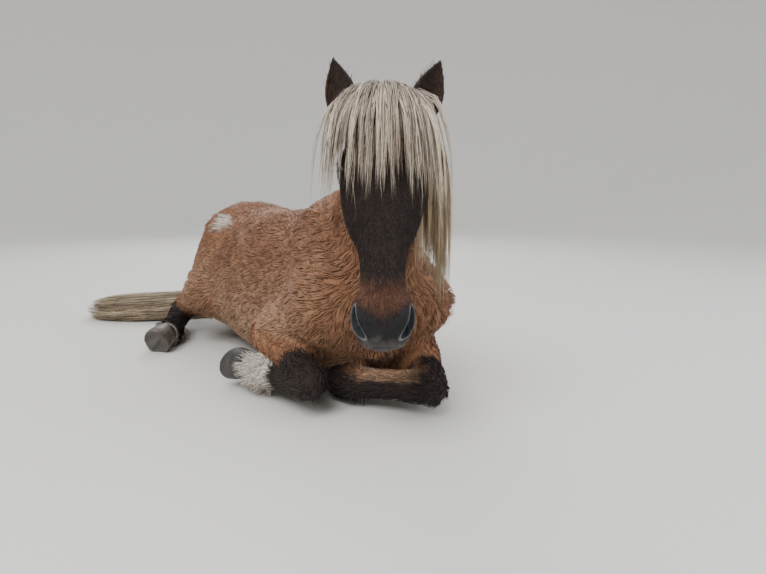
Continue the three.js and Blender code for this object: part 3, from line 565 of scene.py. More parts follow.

# %% [markdown]
# # Finishes
# Hair is never one colour. A group of nodes blends the coat's colours from the markings, breaks their edges
# with noise, and makes each tuft a little lighter or darker, with painted shade towards the root and a
# bleached tip. A second group does the same for the long hair. Both are placed in each material with that
# material's own values.


# %% Node helpers
def new_group(name, inputs):
    """A node group that gives a colour and a height. An input is a number, a colour or, as None, a place."""
    kinds = {type(None): "NodeSocketVector", float: "NodeSocketFloat", tuple: "NodeSocketColor"}
    group = bpy.data.node_groups.new(name, "ShaderNodeTree")
    for socket, value in inputs.items():
        made = group.interface.new_socket(socket, in_out="INPUT", socket_type=kinds[type(value)])
        if value is not None:
            made.default_value = value
    for socket, kind in (("Color", "NodeSocketColor"), ("Height", "NodeSocketFloat")):
        group.interface.new_socket(socket, in_out="OUTPUT", socket_type=kind)
    return group, group.nodes.new("NodeGroupInput").outputs, group.nodes.new("NodeGroupOutput").inputs


def noise(tree, vector, scale, detail=3.0, stretch=None):
    """A noise between 0 and 1 on a vector, stretched on its axes if asked."""
    if stretch:
        mapping = tree.nodes.new("ShaderNodeMapping")
        mapping.inputs["Scale"].default_value = stretch
        tree.links.new(vector, mapping.inputs["Vector"])
        vector = mapping.outputs["Vector"]
    node = tree.nodes.new("ShaderNodeTexNoise")
    node.inputs["Scale"].default_value = scale
    node.inputs["Detail"].default_value = detail
    tree.links.new(vector, node.inputs["Vector"])
    return node.outputs["Fac"]


def sum_of(tree, a, b, factor=1.0, offset=0.0, clamp=True):
    """a + b * factor + offset"""
    times, plus = (tree.nodes.new("ShaderNodeMath") for _ in range(2))
    times.operation, plus.operation = "MULTIPLY_ADD", "ADD"
    times.inputs[1].default_value = factor
    plus.inputs[1].default_value = offset
    plus.use_clamp = clamp
    tree.links.new(b, times.inputs[0])
    tree.links.new(a, times.inputs[2])
    tree.links.new(times.outputs[0], plus.inputs[0])
    return plus.outputs[0]


def between(tree, value, low, high, to_low=0.0, to_high=1.0):
    """The value moved from one range to another and held inside it."""
    node = tree.nodes.new("ShaderNodeMapRange")
    for socket, number in zip(("From Min", "From Max", "To Min", "To Max"), (low, high, to_low, to_high)):
        node.inputs[socket].default_value = number
    tree.links.new(value, node.inputs["Value"])
    return node.outputs["Result"]


def blended(tree, factor, a, b, kind="MIX"):
    """Colour a turned into colour b by a factor. Colours are sockets or tuples."""
    node = tree.nodes.new("ShaderNodeMix")
    node.data_type, node.blend_type = "RGBA", kind
    if isinstance(factor, float):
        node.inputs[0].default_value = factor
    else:
        tree.links.new(factor, node.inputs[0])
    for socket, colour in ((node.inputs[6], a), (node.inputs[7], b)):
        if isinstance(colour, tuple):
            socket.default_value = (*colour, 1)
        else:
            tree.links.new(colour, socket)
    return node.outputs[2]


def shaded(tree, colour, amount):
    """A colour times a grey."""
    grey = tree.nodes.new("ShaderNodeCombineColor")
    for channel in range(3):
        tree.links.new(amount, grey.inputs[channel])
    return blended(tree, 1.0, colour, grey.outputs[0], "MULTIPLY")


print("helpers:", ", ".join(helper.__name__ for helper in (noise, sum_of, between, blended, shaded)))

# %% Colours of the coat
coat_group, given, result = new_group(
    "coat colours", {"Position": None, "Dark": 0.0, "Pale": 0.0, "White": 0.0, "Russet": 0.0, "Tuft": 0.5,
                     "Along": 0.5})
t = coat_group
patches = noise(t, given["Position"], 5.5, 3)
ruffled = noise(t, given["Position"], 38, 4)
fine = noise(t, given["Position"], 260, 2)


def ragged(mask, low, high):
    """A marking with its edge broken by noise."""
    return between(t, sum_of(t, given[mask], ruffled, 0.5, -0.25), low, high)


tone = sum_of(t, between(t, patches, 0.3, 0.7, 0.0, 0.62), given["Tuft"], 0.42)
ginger = blended(t, tone, (0.175, 0.072, 0.034), (0.410, 0.205, 0.110))
sandy = blended(t, tone, (0.270, 0.145, 0.080), (0.530, 0.345, 0.215))
colour = blended(t, sum_of(t, given["Pale"], ruffled, 0.8, -0.42), ginger, sandy)
darkness = blended(t, given["Tuft"], (0.013, 0.009, 0.009), (0.040, 0.024, 0.019))
colour = blended(t, ragged("Dark", 0.25, 0.75), colour, darkness)
band = blended(t, tone, (0.070, 0.031, 0.019), (0.150, 0.068, 0.039))
colour = blended(t, ragged("Russet", 0.15, 0.8), colour, band)
snow = blended(t, tone, (0.50, 0.44, 0.37), (0.80, 0.74, 0.66))
colour = blended(t, ragged("White", 0.25, 0.7), colour, snow)
# Painted shade: the colour is darkened towards the hair's root, to 0.42 of itself, where shade falls among
# the tufts; towards the tip it is a little lighter, as bleached hair.
t.links.new(shaded(t, colour, between(t, given["Along"], 0.0, 0.75, 0.42, 1.08)), result["Color"])
t.links.new(sum_of(t, between(t, ruffled, 0.2, 0.8, 0.0, 0.6), fine, 0.4), result["Height"])
print("coat colours:", len(t.nodes), "nodes")

# %% Colours of the long hair
hair_group, given, result = new_group(
    "long hair colours", {"Position": None, "Lock": 0.5, "Hair": 0.5, "Along": 0.5,
                          "Light": (0.62, 0.54, 0.42, 1), "Deep": (0.20, 0.15, 0.11, 1), "Grey": 0.3})
t = hair_group
streaks = noise(t, given["Position"], 24, 3, (1, 1, 0.25))
tone = sum_of(t, given["Hair"], given["Lock"], 0.5, -0.25)
tone = between(t, sum_of(t, tone, streaks, 0.7, -0.35), 0.1, 0.9)
colour = blended(t, tone, given["Deep"], given["Light"])
greyed = between(t, sum_of(t, given["Grey"], given["Hair"], -1.0, 0.0, False), -0.12, 0.12)
colour = blended(t, greyed, colour, (0.115, 0.088, 0.072))
# Painted shade: each strand is darkened towards its root, to half of its colour, where shade falls inside
# the lock.
t.links.new(shaded(t, colour, between(t, given["Along"], 0.0, 0.35, 0.5, 1.0)), result["Color"])
t.links.new(streaks, result["Height"])
print("long hair colours:", len(t.nodes), "nodes")


# %% Material helpers
def attribute(tree, name):
    """The three numbers and the fourth of a colour attribute."""
    node = tree.nodes.new("ShaderNodeAttribute")
    node.attribute_name = name
    split = tree.nodes.new("ShaderNodeSeparateColor")
    tree.links.new(node.outputs["Color"], split.inputs[0])
    return [split.outputs[0], split.outputs[1], split.outputs[2], node.outputs["Alpha"]]


def object_place(tree):
    return tree.nodes.new("ShaderNodeTexCoord").outputs["Object"]


def placed_group(tree, group, **given):
    """Outputs of a group placed in a material with its own values."""
    node = tree.nodes.new("ShaderNodeGroup")
    node.node_tree = group
    tree.links.new(object_place(tree), node.inputs["Position"])
    for name, value in given.items():
        if isinstance(value, (float, tuple)):
            node.inputs[name].default_value = value
        else:
            tree.links.new(value, node.inputs[name])
    return node.outputs


def bump(tree, shader, height, strength, distance):
    node = tree.nodes.new("ShaderNodeBump")
    node.inputs["Strength"].default_value = strength
    node.inputs["Distance"].default_value = distance
    tree.links.new(height, node.inputs["Height"])
    tree.links.new(node.outputs["Normal"], shader.inputs["Normal"])


print("groups to place:", coat_group.name, "and", hair_group.name)

# %% Hide
# It carries the coat's markings and bare skin on the muzzle and on the lids, with painted shade in the
# nostrils and along the line of the lips, and a painted highlight on the nostrils' rims.
hide, t, shader = material("hide", 0.75, 0.22)
dark_in, pale_in, white_in, russet_in = attribute(t, "marks")
muzzle_in, hole_shade_in, rim_highlight_in, chin_in = attribute(t, "face")
# The hide is darkened a little by the coat's painted root shade, as at a point just past the middle of a
# tuft.
coat_part = placed_group(t, coat_group, Dark=dark_in, Pale=pale_in, White=white_in, Russet=russet_in,
                         Along=0.55)
pores = noise(t, object_place(t), 420, 3)
mottled = noise(t, object_place(t), 55, 3)
bare = blended(t, mottled, (0.004, 0.004, 0.005), (0.018, 0.016, 0.018))
chin_share = between(t, sum_of(t, chin_in, mottled, 0.9, -0.45), 0.15, 0.9)
bare = blended(t, chin_share, bare, (0.105, 0.090, 0.082))
muzzle_share = between(t, sum_of(t, muzzle_in, mottled, 0.5, -0.25), 0.2, 0.8)
colour = blended(t, muzzle_share, coat_part["Color"], bare)
# Painted highlight: light grey on the rims of the nostrils.
colour = blended(t, between(t, rim_highlight_in, 0.5, 1.1), colour, (0.170, 0.165, 0.172))
# Painted shade: near black in the nostrils and along the line between the lips.
colour = blended(t, hole_shade_in, colour, (0.009, 0.013, 0.018))
t.links.new(colour, shader.inputs["Base Color"])
t.links.new(between(t, muzzle_in, 0, 1, 0.80, 0.60), shader.inputs["Roughness"])
bump(t, shader, sum_of(t, coat_part["Height"], pores, 0.6, 0, False), 0.6, 0.0015)
skin_mesh.materials.append(hide)
print("hide:", len(t.nodes), "nodes")

# %% Hair
fur, t, shader = material("winter_fur", 0.62, 0.35)
dark_in, pale_in, white_in, russet_in = attribute(t, "marks")
tuft_in, along_in, clump_in, _ = attribute(t, "lock")
tuft_tone = sum_of(t, between(t, tuft_in, 0, 1, 0, 0.6), clump_in, 0.4)
coat_part = placed_group(t, coat_group, Dark=dark_in, Pale=pale_in, White=white_in, Russet=russet_in,
                         Tuft=tuft_tone, Along=along_in)
t.links.new(coat_part["Color"], shader.inputs["Base Color"])
bump(t, shader, coat_part["Height"], 0.4, 0.001)


def long_hair(name, light, deep, grey):
    made, tree, shader = material(name, 0.48, 0.45)
    hair_in, along_in, lock_in, _ = attribute(tree, "lock")
    part = placed_group(tree, hair_group, Lock=lock_in, Hair=hair_in, Along=along_in, Light=(*light, 1.0),
                        Deep=(*deep, 1.0), Grey=grey)
    tree.links.new(part["Color"], shader.inputs["Base Color"])
    bump(tree, shader, part["Height"], 0.3, 0.001)
    print(name, "light", light, "deep", deep)
    return made


forelock_hair = long_hair("forelock_hair", (0.78, 0.68, 0.54), (0.27, 0.20, 0.14), 0.24)
mane_hair = long_hair("mane_hair", (0.74, 0.60, 0.40), (0.36, 0.25, 0.15), 0.06)
tail_hair = long_hair("tail_hair", (0.61, 0.48, 0.32), (0.22, 0.155, 0.095), 0.20)

# %% [markdown]
# # Tufts by the thousand
# Fur that is thick and wavy is best built as small solid tufts: flat, three-sided, tapered and bent. One
# tuft is modelled with operators, and its points are then laid along thousands of small lines with arrays,
# which is quick and makes plain meshes that can be exported.


# %% One tuft
def tuft_pattern(steps, fullest=0.35):
    """A three-sided tuft of unit size: places and rings of its points, its faces and its flat patch."""
    maker = bmesh.new()
    bmesh.ops.create_circle(maker, segments=3, radius=1, cap_ends=True)
    face = maker.faces[:]
    for _ in range(steps):
        made = bmesh.ops.extrude_face_region(maker, geom=face)
        top = [v for v in made["geom"] if isinstance(v, bmesh.types.BMVert)]
        bmesh.ops.translate(maker, verts=top, vec=(0, 0, 1))
        bmesh.ops.delete(maker, geom=face, context="FACES_ONLY")
        face = [f for f in made["geom"] if isinstance(f, bmesh.types.BMFace)]
    bmesh.ops.pointmerge(maker, verts=face[0].verts[:], merge_co=(0, 0, steps))
    bmesh.ops.triangulate(maker, faces=maker.faces[:])
    bmesh.ops.recalc_face_normals(maker, faces=maker.faces[:])
    maker.verts.index_update()
    rows = np.array([v.co[:] for v in maker.verts])
    faces = np.array([[v.index for v in f.verts] for f in maker.faces])
    maker.free()
    ring = np.rint(rows[:, 2]).astype(int)
    share = ring / steps
    size = np.where(share < fullest, 0.55 + 0.45 * share / fullest, ((1 - share) / (1 - fullest)) ** 0.7)
    turn = np.arctan2(rows[:, 1], rows[:, 0]) / (2 * math.pi) + 0.5
    flat = np.stack([turn, share], axis=1)[faces.ravel()]
    return {"xy": rows[:, :2] * size[:, None], "ring": ring, "faces": faces, "flat": flat, "steps": steps}


tuft2, tuft3 = tuft_pattern(2, 0.5), tuft_pattern(3)
print("faces of a tuft of three steps:", len(tuft3["faces"]))


# %% Planting tufts
patch = 0.003  # side of a tuft's patch on the skin's unwrap


def directions(lines, outwards):
    """Across and out at each point of lines, from a rough way out."""
    step = np.diff(lines, axis=1)
    along = unit(np.concatenate([step, step[:, -1:]], axis=1))
    across = unit(np.cross(along, outwards))
    return across, np.cross(across, along)


def plant(name, pattern, lines, outwards, width, flatness, root_uv, colours, finish):
    """A piece made of copies of a pattern laid along lines."""
    number = len(lines)
    across, out = directions(lines, outwards)
    xy, ring, faces = pattern["xy"], pattern["ring"], pattern["faces"]
    spots = lines[:, ring] + across[:, ring] * (xy[:, 0][None, :] * width[:, None])[..., None]
    spots = spots + out[:, ring] * (xy[:, 1][None, :] * (width * flatness)[:, None])[..., None]
    spots[..., 2] = np.maximum(spots[..., 2], 0.0008)
    per_tuft = len(xy)
    corners = (faces[None] + (np.arange(number) * per_tuft)[:, None, None]).reshape(-1)
    mesh = bpy.data.meshes.new(name)
    mesh.vertices.add(number * per_tuft)
    mesh.vertices.foreach_set("co", spots.astype(np.float32).ravel())
    mesh.loops.add(len(corners))
    mesh.loops.foreach_set("vertex_index", corners.astype(np.int32))
    mesh.polygons.add(len(corners) // 3)
    mesh.polygons.foreach_set("loop_start", np.arange(0, len(corners), 3, dtype=np.int32))
    mesh.polygons.foreach_set("use_smooth", np.ones(len(corners) // 3, bool))
    mesh.update(calc_edges=True)
    uv = root_uv[:, None, :] + (pattern["flat"][None] - 0.5) * patch
    mesh.uv_layers.new(name="OFBake").data.foreach_set("uv", uv.astype(np.float32).ravel())
    share = np.tile(ring / pattern["steps"], number)
    tuft, clump = (np.repeat(colours[key], per_tuft) for key in ("tuft", "clump"))
    put_colours(mesh, "lock", [tuft, share, clump, np.ones(number * per_tuft)])
    if "marks" in colours:
        put_colours(mesh, "marks", [np.repeat(c, per_tuft) for c in colours["marks"]])
    mesh.materials.append(finish)
    piece = shown(name, mesh)
    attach(piece, "root")
    print(name, number, "tufts,", len(corners) // 3, "triangles")


print("side of a tuft's patch on the skin's unwrap:", patch)

# %% Roots on the skin
skin_mesh.calc_loop_triangles()
triangles = rows_of(skin_mesh.loop_triangles, "vertices", 3, np.int32)
triangle_loops = rows_of(skin_mesh.loop_triangles, "loops", 3, np.int32)
skin_uv = rows_of(skin_mesh.uv_layers["OFBake"].data, "uv", 2)
skin_tree = BVHTree.FromPolygons([Vector(v) for v in points], [tuple(map(int, t)) for t in triangles])
first, second, third = (points[triangles[:, corner]] for corner in range(3))
areas = np.linalg.norm(np.cross(second - first, third - first), axis=1) / 2


def sown(number, weights, chance):
    """Random roots on the skin, thick where the weights are large: triangles and shares of corners."""
    pull = areas * weights[triangles].mean(axis=1)
    chosen = np.searchsorted(np.cumsum(pull) / pull.sum(), chance.random(number))
    chosen = np.minimum(chosen, len(triangles) - 1)
    a, b = np.sqrt(chance.random(number)), chance.random(number)
    return chosen, np.stack([1 - a, a * (1 - b), a * b], axis=1)


def at_roots(values, chosen, shares):
    return np.einsum("nk...,nk->n...", values[triangles[chosen]], shares)


def uv_near(places):
    """The unwrap's place of the skin nearest to each place."""
    faces = [skin_tree.find_nearest(Vector(place))[2] for place in places]
    return np.array([skin_uv[triangle_loops[face]].mean(axis=0) for face in faces])


print("skin:", len(triangles), "triangles,", round(float(areas.sum()), 3), "square metres")


# %% A coat of tufts
def coat(name, number, weights, pattern, length, width, lift, clump_gap, gather, wave, seed, most=190000):
    """Sows tufts over a part of the skin, in pieces of less than 200,000 triangles."""
    chance = np.random.default_rng(seed)
    chosen, shares = sown(number, weights, chance)
    roots = at_roots(points, chosen, shares)
    outwards = unit(at_roots(normals, chosen, shares))
    way = at_roots(lie, chosen, shares)
    way = unit(way - outwards * np.sum(way * outwards, axis=1, keepdims=True))
    sideways = np.cross(way, outwards)
    swing = chance.normal(0, 0.22, number)[:, None]
    long = length * chance.uniform(0.75, 1.2, number)
    steps = pattern["steps"]
    # Neighbouring tufts are drawn together towards the line of the nearest clump.
    clumps = max(8, int(areas.sum() / clump_gap**2))
    centres = chance.choice(number, min(clumps, number), replace=False)
    tree = KDTree(len(centres))
    for index, root in enumerate(centres):
        tree.insert(roots[root], index)
    tree.balance()
    nearest = np.array([tree.find(root)[1] for root in roots])
    phase = chance.uniform(0, 2 * math.pi, len(centres))
    clump_swing = chance.normal(0, 0.38, len(centres))
    clump_long = chance.uniform(0.85, 1.25, len(centres))
    lines = np.empty((number, steps + 1, 3))
    guide = centres[nearest]
    lead_way = way[guide] + sideways[guide] * clump_swing[nearest][:, None]
    for k in range(steps + 1):
        s = k / steps
        rise = lift * (1 - (1 - s) ** 1.6)
        own = roots + (way + sideways * swing) * (long * s)[:, None] + outwards * rise
        lead = roots[guide] + lead_way * (length * clump_long[nearest] * s)[:, None]
        lead = lead + outwards[guide] * (rise * 1.25)
        bend = wave * np.sin(phase[nearest] + s * 4.2) * s
        drawn = gather * s**1.1
        lines[:, k] = own * (1 - drawn) + lead * drawn + sideways[guide] * bend[:, None]
    marks = [at_roots(marking, chosen, shares) for marking in markings]
    root_uv = np.einsum("nkc,nk->nc", skin_uv[triangle_loops[chosen]], shares)
    tuft, clump = chance.random(number), chance.random(len(centres))[nearest]
    wide = width * chance.uniform(0.75, 1.25, number)
    per_piece = most // len(pattern["faces"])
    order = np.argsort(roots[:, 1])
    for part, start in enumerate(range(0, number, per_piece)):
        pick = order[start:start + per_piece]
        colours = {"tuft": tuft[pick], "clump": clump[pick], "marks": [m[pick] for m in marks]}
        plant(f"{name}_{part + 1}", pattern, lines[pick], outwards[pick][:, None, :], wide[pick], 0.4,
              root_uv[pick], colours, fur)


under = np.clip((points[:, 2] - 0.012) / 0.03, 0.12, 1)
bare_skin = np.maximum(muzzle, np.maximum(lid_mark, nostril_and_lip_shade))
coat("body_coat", 42500, body_share * under, tuft3, 0.040, 0.0023, 0.0070, 0.034, 0.50, 0.0040, 101)
coat("leg_coat", 8000, (upper_leg + toe_share) * under, tuft3, 0.022, 0.0021, 0.005, 0.016, 0.45, 0.0012,
     102)
coat("face_coat", 14000, head_share * np.clip(1 - 1.4 * bare_skin, 0, 1) * under, tuft2,
     0.011, 0.0011, 0.0016, 0.008, 0.25, 0.0003, 103)
coat("ear_coat", 3400, is_ear.astype(float), tuft2, 0.006, 0.0010, 0.0003, 0.008, 0.20, 0.0002, 104)

# %% [markdown]
# # Long hair
# Forelock, mane and tail are made in two stages, as a wig maker works. First come guide lines, which leave
# the root, fall under their own weight and slide over the skin. Then each guide carries a lock of some
# twenty thin strands, spread at the root and drawn together at the tip, with a little frizz of their own.


# %% Falling guide lines
def off_the_skin(place, clear):
    """A place moved out until it is clear of the skin, and the way out there."""
    for _ in range(3):
        near, normal, _, reach = skin_tree.find_nearest(Vector(place))
        outside = (Vector(place) - near).dot(normal) > 0
        height = reach if outside else -reach
        if height >= clear:
            break
        place = place + np.array(normal) * (clear - height)
    return place, np.array(normal)


def on_skin(places):
    return np.array([off_the_skin(place, 0.0)[0] for place in places])


def falling_guides(roots, headings, lengths, droop, clears, steps=12):
    """Lines that start along a heading and bend down over the skin, with the way out at each point."""
    lines = np.empty((len(roots), steps + 1, 3))
    outs = np.empty_like(lines)
    for g, root in enumerate(roots):
        place, way = root.copy(), unit(headings[g])
        out = off_the_skin(place, 0)[1]
        lines[g, 0], outs[g, 0] = place, out
        for k in range(1, steps + 1):
            way = unit(way + np.array([0, 0, -droop]))
            place = place + way * lengths[g] / steps
            place, near_out = off_the_skin(place, clears[g] * min(1, k / 3))
            place[2] = max(place[2], 0.004)
            out = unit(out * 0.7 + near_out * 0.3)
            lines[g, k], outs[g, k] = place, out
    return lines, outs


print("guides slide over", len(triangles), "triangles")


# %% Locks around guides
def locks(name, guides, outs, per_guide, spread, gather, frizz, width, finish, seed, cut):
    """Strands around guide lines, as one piece. Spread is the lock's half width at the root."""
    steps = 7
    chance = np.random.default_rng(seed)
    number = len(guides) * per_guide
    guide = np.repeat(np.arange(len(guides)), per_guide)
    guide_steps = guides.shape[1] - 1
    side_offset = chance.normal(0, spread, number)
    out_offset = np.abs(chance.normal(0, spread * 0.6, number))
    ends = chance.uniform(*cut, number)
    waves = chance.uniform(0, 2 * math.pi, (number, 2))
    pace = chance.uniform(5, 11, number)
    amount = frizz * chance.uniform(0.3, 1.4, number)
    lines = np.empty((number, steps + 1, 3))
    outwards = np.empty_like(lines)
    heading = unit(np.diff(guides, axis=1, append=guides[:, -1:] + (guides[:, -1:] - guides[:, -2:-1])))
    sideways = unit(np.cross(heading, outs))
    for k in range(steps + 1):
        s = k / steps
        at = np.clip(s * ends, 0, 1) * guide_steps
        low = np.minimum(at.astype(int), guide_steps - 1)
        share = (at - low)[:, None]
        centre, side, out = (rows[guide, low] * (1 - share) + rows[guide, low + 1] * share
                             for rows in (guides, sideways, outs))
        past_end = np.maximum(s * ends - 1, 0)[:, None]
        centre += (guides[guide, -1] - guides[guide, -2]) * past_end * guide_steps
        side, out = unit(side), unit(out)
        narrow = 1 - gather * s**0.9
        wander = amount * s
        shift = side_offset * narrow + wander * np.sin(waves[:, 0] + pace * s)
        lift = out_offset * narrow + 0.6 * wander * np.sin(waves[:, 1] + pace * 0.8 * s) + wander * 0.4
        lines[:, k] = centre + side * shift[:, None] + out * lift[:, None]
        outwards[:, k] = out
    wide = width * chance.uniform(0.7, 1.3, number)
    colours = {"tuft": chance.random(number), "clump": chance.random(len(guides))[guide]}
    plant(name, tuft_pattern(steps, 0.25), lines, outwards, wide, 0.55, uv_near(lines[:, 0]), colours,
          finish)


print("faces of a strand:", len(tuft_pattern(7)["faces"]))

# %% Forelock
chance = np.random.default_rng(23)
guide_count = 170
spread = chance.uniform(-1, 1, guide_count)
layer = np.linspace(0, 1, guide_count) ** 0.8
back = chance.uniform(0, 1, guide_count)
roots = on_skin([on_head(s * 0.050, -0.024 - 0.018 * abs(s) - 0.020 * b, 0.020 - 0.034 * l)
                 for s, b, l in zip(spread, back, layer)])
headings = (np.outer(0.55 + 0.45 * (1 - np.abs(spread)), head_out) + np.outer(spread * 0.94, head_across)
            + np.outer((-0.42 * layer - 0.05) * (1 - 0.8 * np.abs(spread)), head_down)
            + chance.normal(0, 0.10, (guide_count, 3)))
lengths = 0.300 * chance.uniform(0.58, 1.06, guide_count) * (0.88 + 0.12 * np.abs(spread))
guides, outs = falling_guides(roots, headings, lengths, 0.40, 0.005 + 0.022 * layer)
locks("forelock_hair", guides, outs, 20, 0.0054, 0.95, 0.0036, 0.00098, forelock_hair, 24, (0.55, 1.08))
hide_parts("forelock")

# A few thin wisps hang longer over the eyes and the nose.
wisp_count = 34
longer = chance.choice(guide_count, wisp_count, replace=False)
wisp_headings = headings[longer] * 0.8 + chance.normal(0, 0.10, (wisp_count, 3))
wisp_lengths = lengths[longer] * chance.uniform(1.10, 1.35, wisp_count)
wisp_clears = 0.008 + 0.020 * layer[longer]
guides, outs = falling_guides(roots[longer], wisp_headings, wisp_lengths, 0.48, wisp_clears)
locks("forelock_wisps", guides, outs, 5, 0.0045, 0.55, 0.0085, 0.0009, forelock_hair, 25, (0.75, 1.05))

# %% Mane
# It grows along the crest of the neck and falls on the horse's left side.
crest_places = np.array([on_head(0, -0.084, 0.034), on_head(0, -0.104, 0.060), body_point(-22, -10, 716),
                         body_point(34, 190, 614), body_point(52, 320, 545)])
crest_way = unit(np.array([0.3, -0.25, 1.0]))


def on_crest(t):
    """A point of the crest, found by a ray from above onto the skin."""
    place = t * (len(crest_places) - 1)
    low = min(int(place), len(crest_places) - 2)
    inside = crest_places[low] + (crest_places[low + 1] - crest_places[low]) * (place - low)
    hit = skin_tree.ray_cast(Vector(inside + crest_way * 0.25), Vector(-crest_way), 0.3)[0]
    return np.array(hit) if hit is not None else inside


chance = np.random.default_rng(11)
guide_count = 190
crest_share = np.sort(chance.uniform(0, 1, guide_count) ** 1.15)
layer = chance.random(guide_count)
tangent = unit(crest_places[-1] - crest_places[1])
beside = unit(np.cross(tangent, crest_way))
roots = np.array([on_crest(t) for t in crest_share]) + np.outer(chance.normal(0, 0.010, guide_count), beside)
headings = np.array([0.62, -0.20, 0.05]) + np.outer(chance.normal(0, 0.10, guide_count), tangent)
headings += np.outer(layer, [0, 0, 0.30])
lengths = 0.46 * (1.04 - 0.42 * crest_share) * chance.uniform(0.82, 1.04, guide_count)
clears = 0.005 + layer * (0.018 + 0.030 * np.clip(1 - crest_share / 0.45, 0, 1))

# Behind the left ear the hair leaves the poll and hangs beside the cheek.
beside_count = 50
beside_layer = chance.random(beside_count)
beside_roots = on_skin([on_head(a, o, d) for a, o, d in zip(chance.uniform(0.01, 0.05, beside_count),
                                                             chance.uniform(-0.105, -0.080, beside_count),
                                                             chance.uniform(0.010, 0.045, beside_count))])
beside_headings = head_across * 1.0 + np.outer(0.1 + 0.25 * beside_layer, upright)
beside_headings = beside_headings + chance.normal(0, 0.10, (beside_count, 3))
roots = np.concatenate([roots, beside_roots])
headings = np.concatenate([headings, beside_headings])
lengths = np.concatenate([lengths, 0.50 * chance.uniform(0.86, 1.03, beside_count)])
clears = np.concatenate([clears, 0.012 + 0.034 * beside_layer])
guides, outs = falling_guides(roots, headings, lengths, 0.75, clears)
locks("mane_hair", guides, outs, 17, 0.0080, 0.62, 0.0045, 0.00125, mane_hair, 12, (0.72, 1.04))
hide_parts("mane")

# %% Tail
# The hair follows the dock down behind the rump and lies along the floor to the right, in loose waves.
tail_places = np.array([body_point(*place) for place in [
    (-30, 1300, 420), (-46, 1410, 330), (-90, 1446, 170), (-190, 1478, 76), (-360, 1518, 60),
    (-530, 1578, 56), (-640, 1654, 50), (-684, 1746, 38), (-654, 1828, 26)]])
tail_thickness = np.array([28, 34, 46, 62, 70, 66, 56, 42, 20]) / 1000


def tail_at(t):
    """Place, direction and thickness of the tail, t from root to tip, on a smooth curve."""
    t = np.clip(t, 0, 1) * (len(tail_places) - 1)
    i = min(int(t), len(tail_places) - 2)
    s = t - i
    p = [tail_places[min(max(i + k, 0), len(tail_places) - 1)] for k in (-1, 0, 1, 2)]
    a, b, c = p[2] - p[0], 2 * p[0] - 5 * p[1] + 4 * p[2] - p[3], 3 * p[1] - p[0] - 3 * p[2] + p[3]
    place = 0.5 * (2 * p[1] + a * s + b * s**2 + c * s**3)
    way = 0.5 * (a + 2 * b * s + 3 * c * s**2)
    return place, unit(way), np.interp(t, np.arange(len(tail_thickness)), tail_thickness)


chance = np.random.default_rng(37)
guide_count, steps = 150, 12
guides, outs = np.empty((2, guide_count, steps + 1, 3))
for g in range(guide_count):
    turn, depth = chance.uniform(0, 2 * math.pi), chance.uniform(0.35, 0.95) ** 0.6
    start, end = chance.uniform(0, 0.38), chance.uniform(0.74, 1)
    phase = chance.uniform(0, 2 * math.pi)
    for k in range(steps + 1):
        t = start + (end - start) * k / steps
        place, way, thick = tail_at(t)
        side = unit(np.cross(way, [0, 0, 1]))
        angle = turn + 0.9 * t
        out = side * math.cos(angle) + np.cross(side, way) * math.sin(angle)
        sway = 0.021 * math.sin(phase + 13 * t) * min(1, k / 4)
        place = place + out * thick * depth * min(1, 0.25 + k / 3) + side * sway
        place[2] = max(place[2], 0.006)
        guides[g, k], outs[g, k] = place, out
locks("tail_hair", guides, outs, 26, 0.0085, 0.55, 0.0080, 0.00145, tail_hair, 38, (0.72, 1.04))
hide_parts("tail_dock", "tail")

# %% [markdown]
# # Eyes, lids and hooves
# The eyes are dark and wet, with a brown iris and a pupil that lies across. Their lids are thin dark rims.
# The hooves start from the solids, remeshed finer. Each gets a round wall that flares towards the sole, a
# lower heel, a hollow sole with its frog, and the rings that horn shows as it grows.


# %% Eyes
def add_piece(mesh, name, finish, slot, *replaced):
    mesh.polygons.foreach_set("use_smooth", np.ones(len(mesh.polygons), bool))
    mesh.materials.clear()
    mesh.materials.append(finish)
    piece = shown(name, mesh)
    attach(piece, "root")
    if replaced:
        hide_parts(*replaced)
    print(name, len(mesh.polygons), "faces")


wet_eye, t, shader = material("wet_eye", 0.06, 0.6)
shader.inputs["Coat Weight"].default_value = 1.0
shader.inputs["Coat Roughness"].default_value = 0.02
iris_in, pupil_in, flecks_in, _ = attribute(t, "eye")
brown = blended(t, flecks_in, (0.020, 0.009, 0.005), (0.085, 0.038, 0.018))
colour = blended(t, iris_in, (0.045, 0.030, 0.026), brown)
t.links.new(blended(t, pupil_in, colour, (0.002, 0.002, 0.003)), shader.inputs["Base Color"])

for sign, side in sides:
    maker = bmesh.new()
    bmesh.ops.create_uvsphere(maker, u_segments=40, v_segments=24, radius=eye_radius)
    for vert in maker.verts:
        # The clear front of the eye bulges a little.
        if vert.co.z > 0:
            vert.co.z += 0.0016 * math.exp(-((math.hypot(vert.co.x, vert.co.y) / 0.010) ** 2))
    eye_mesh = mesh_of(maker, f"eyeball_{side}")
    x, y, z = points_of(eye_mesh).T
    reach = np.hypot(x, y)
    iris = np.clip((0.0125 - reach) / 0.0012, 0, 1) * (z > 0)
    pupil = np.clip((1 - np.hypot(x / 0.0072, y / 0.0042)) * 6, 0, 1) * (z > 0)
    flecks = 0.5 + 0.5 * np.sin(np.arctan2(y, x) * 23) * np.sin(reach * 900)
    put_colours(eye_mesh, "eye", [iris, pupil, flecks, np.ones(len(x))])
    turned = np.column_stack([eye_axes(sign).T, eye_places[side]]).tolist() + [[0, 0, 0, 1]]
    eye_mesh.transform(Matrix(turned))
    add_piece(eye_mesh, f"eyeball_{side}", wet_eye, "eye", f"eye_{side}")

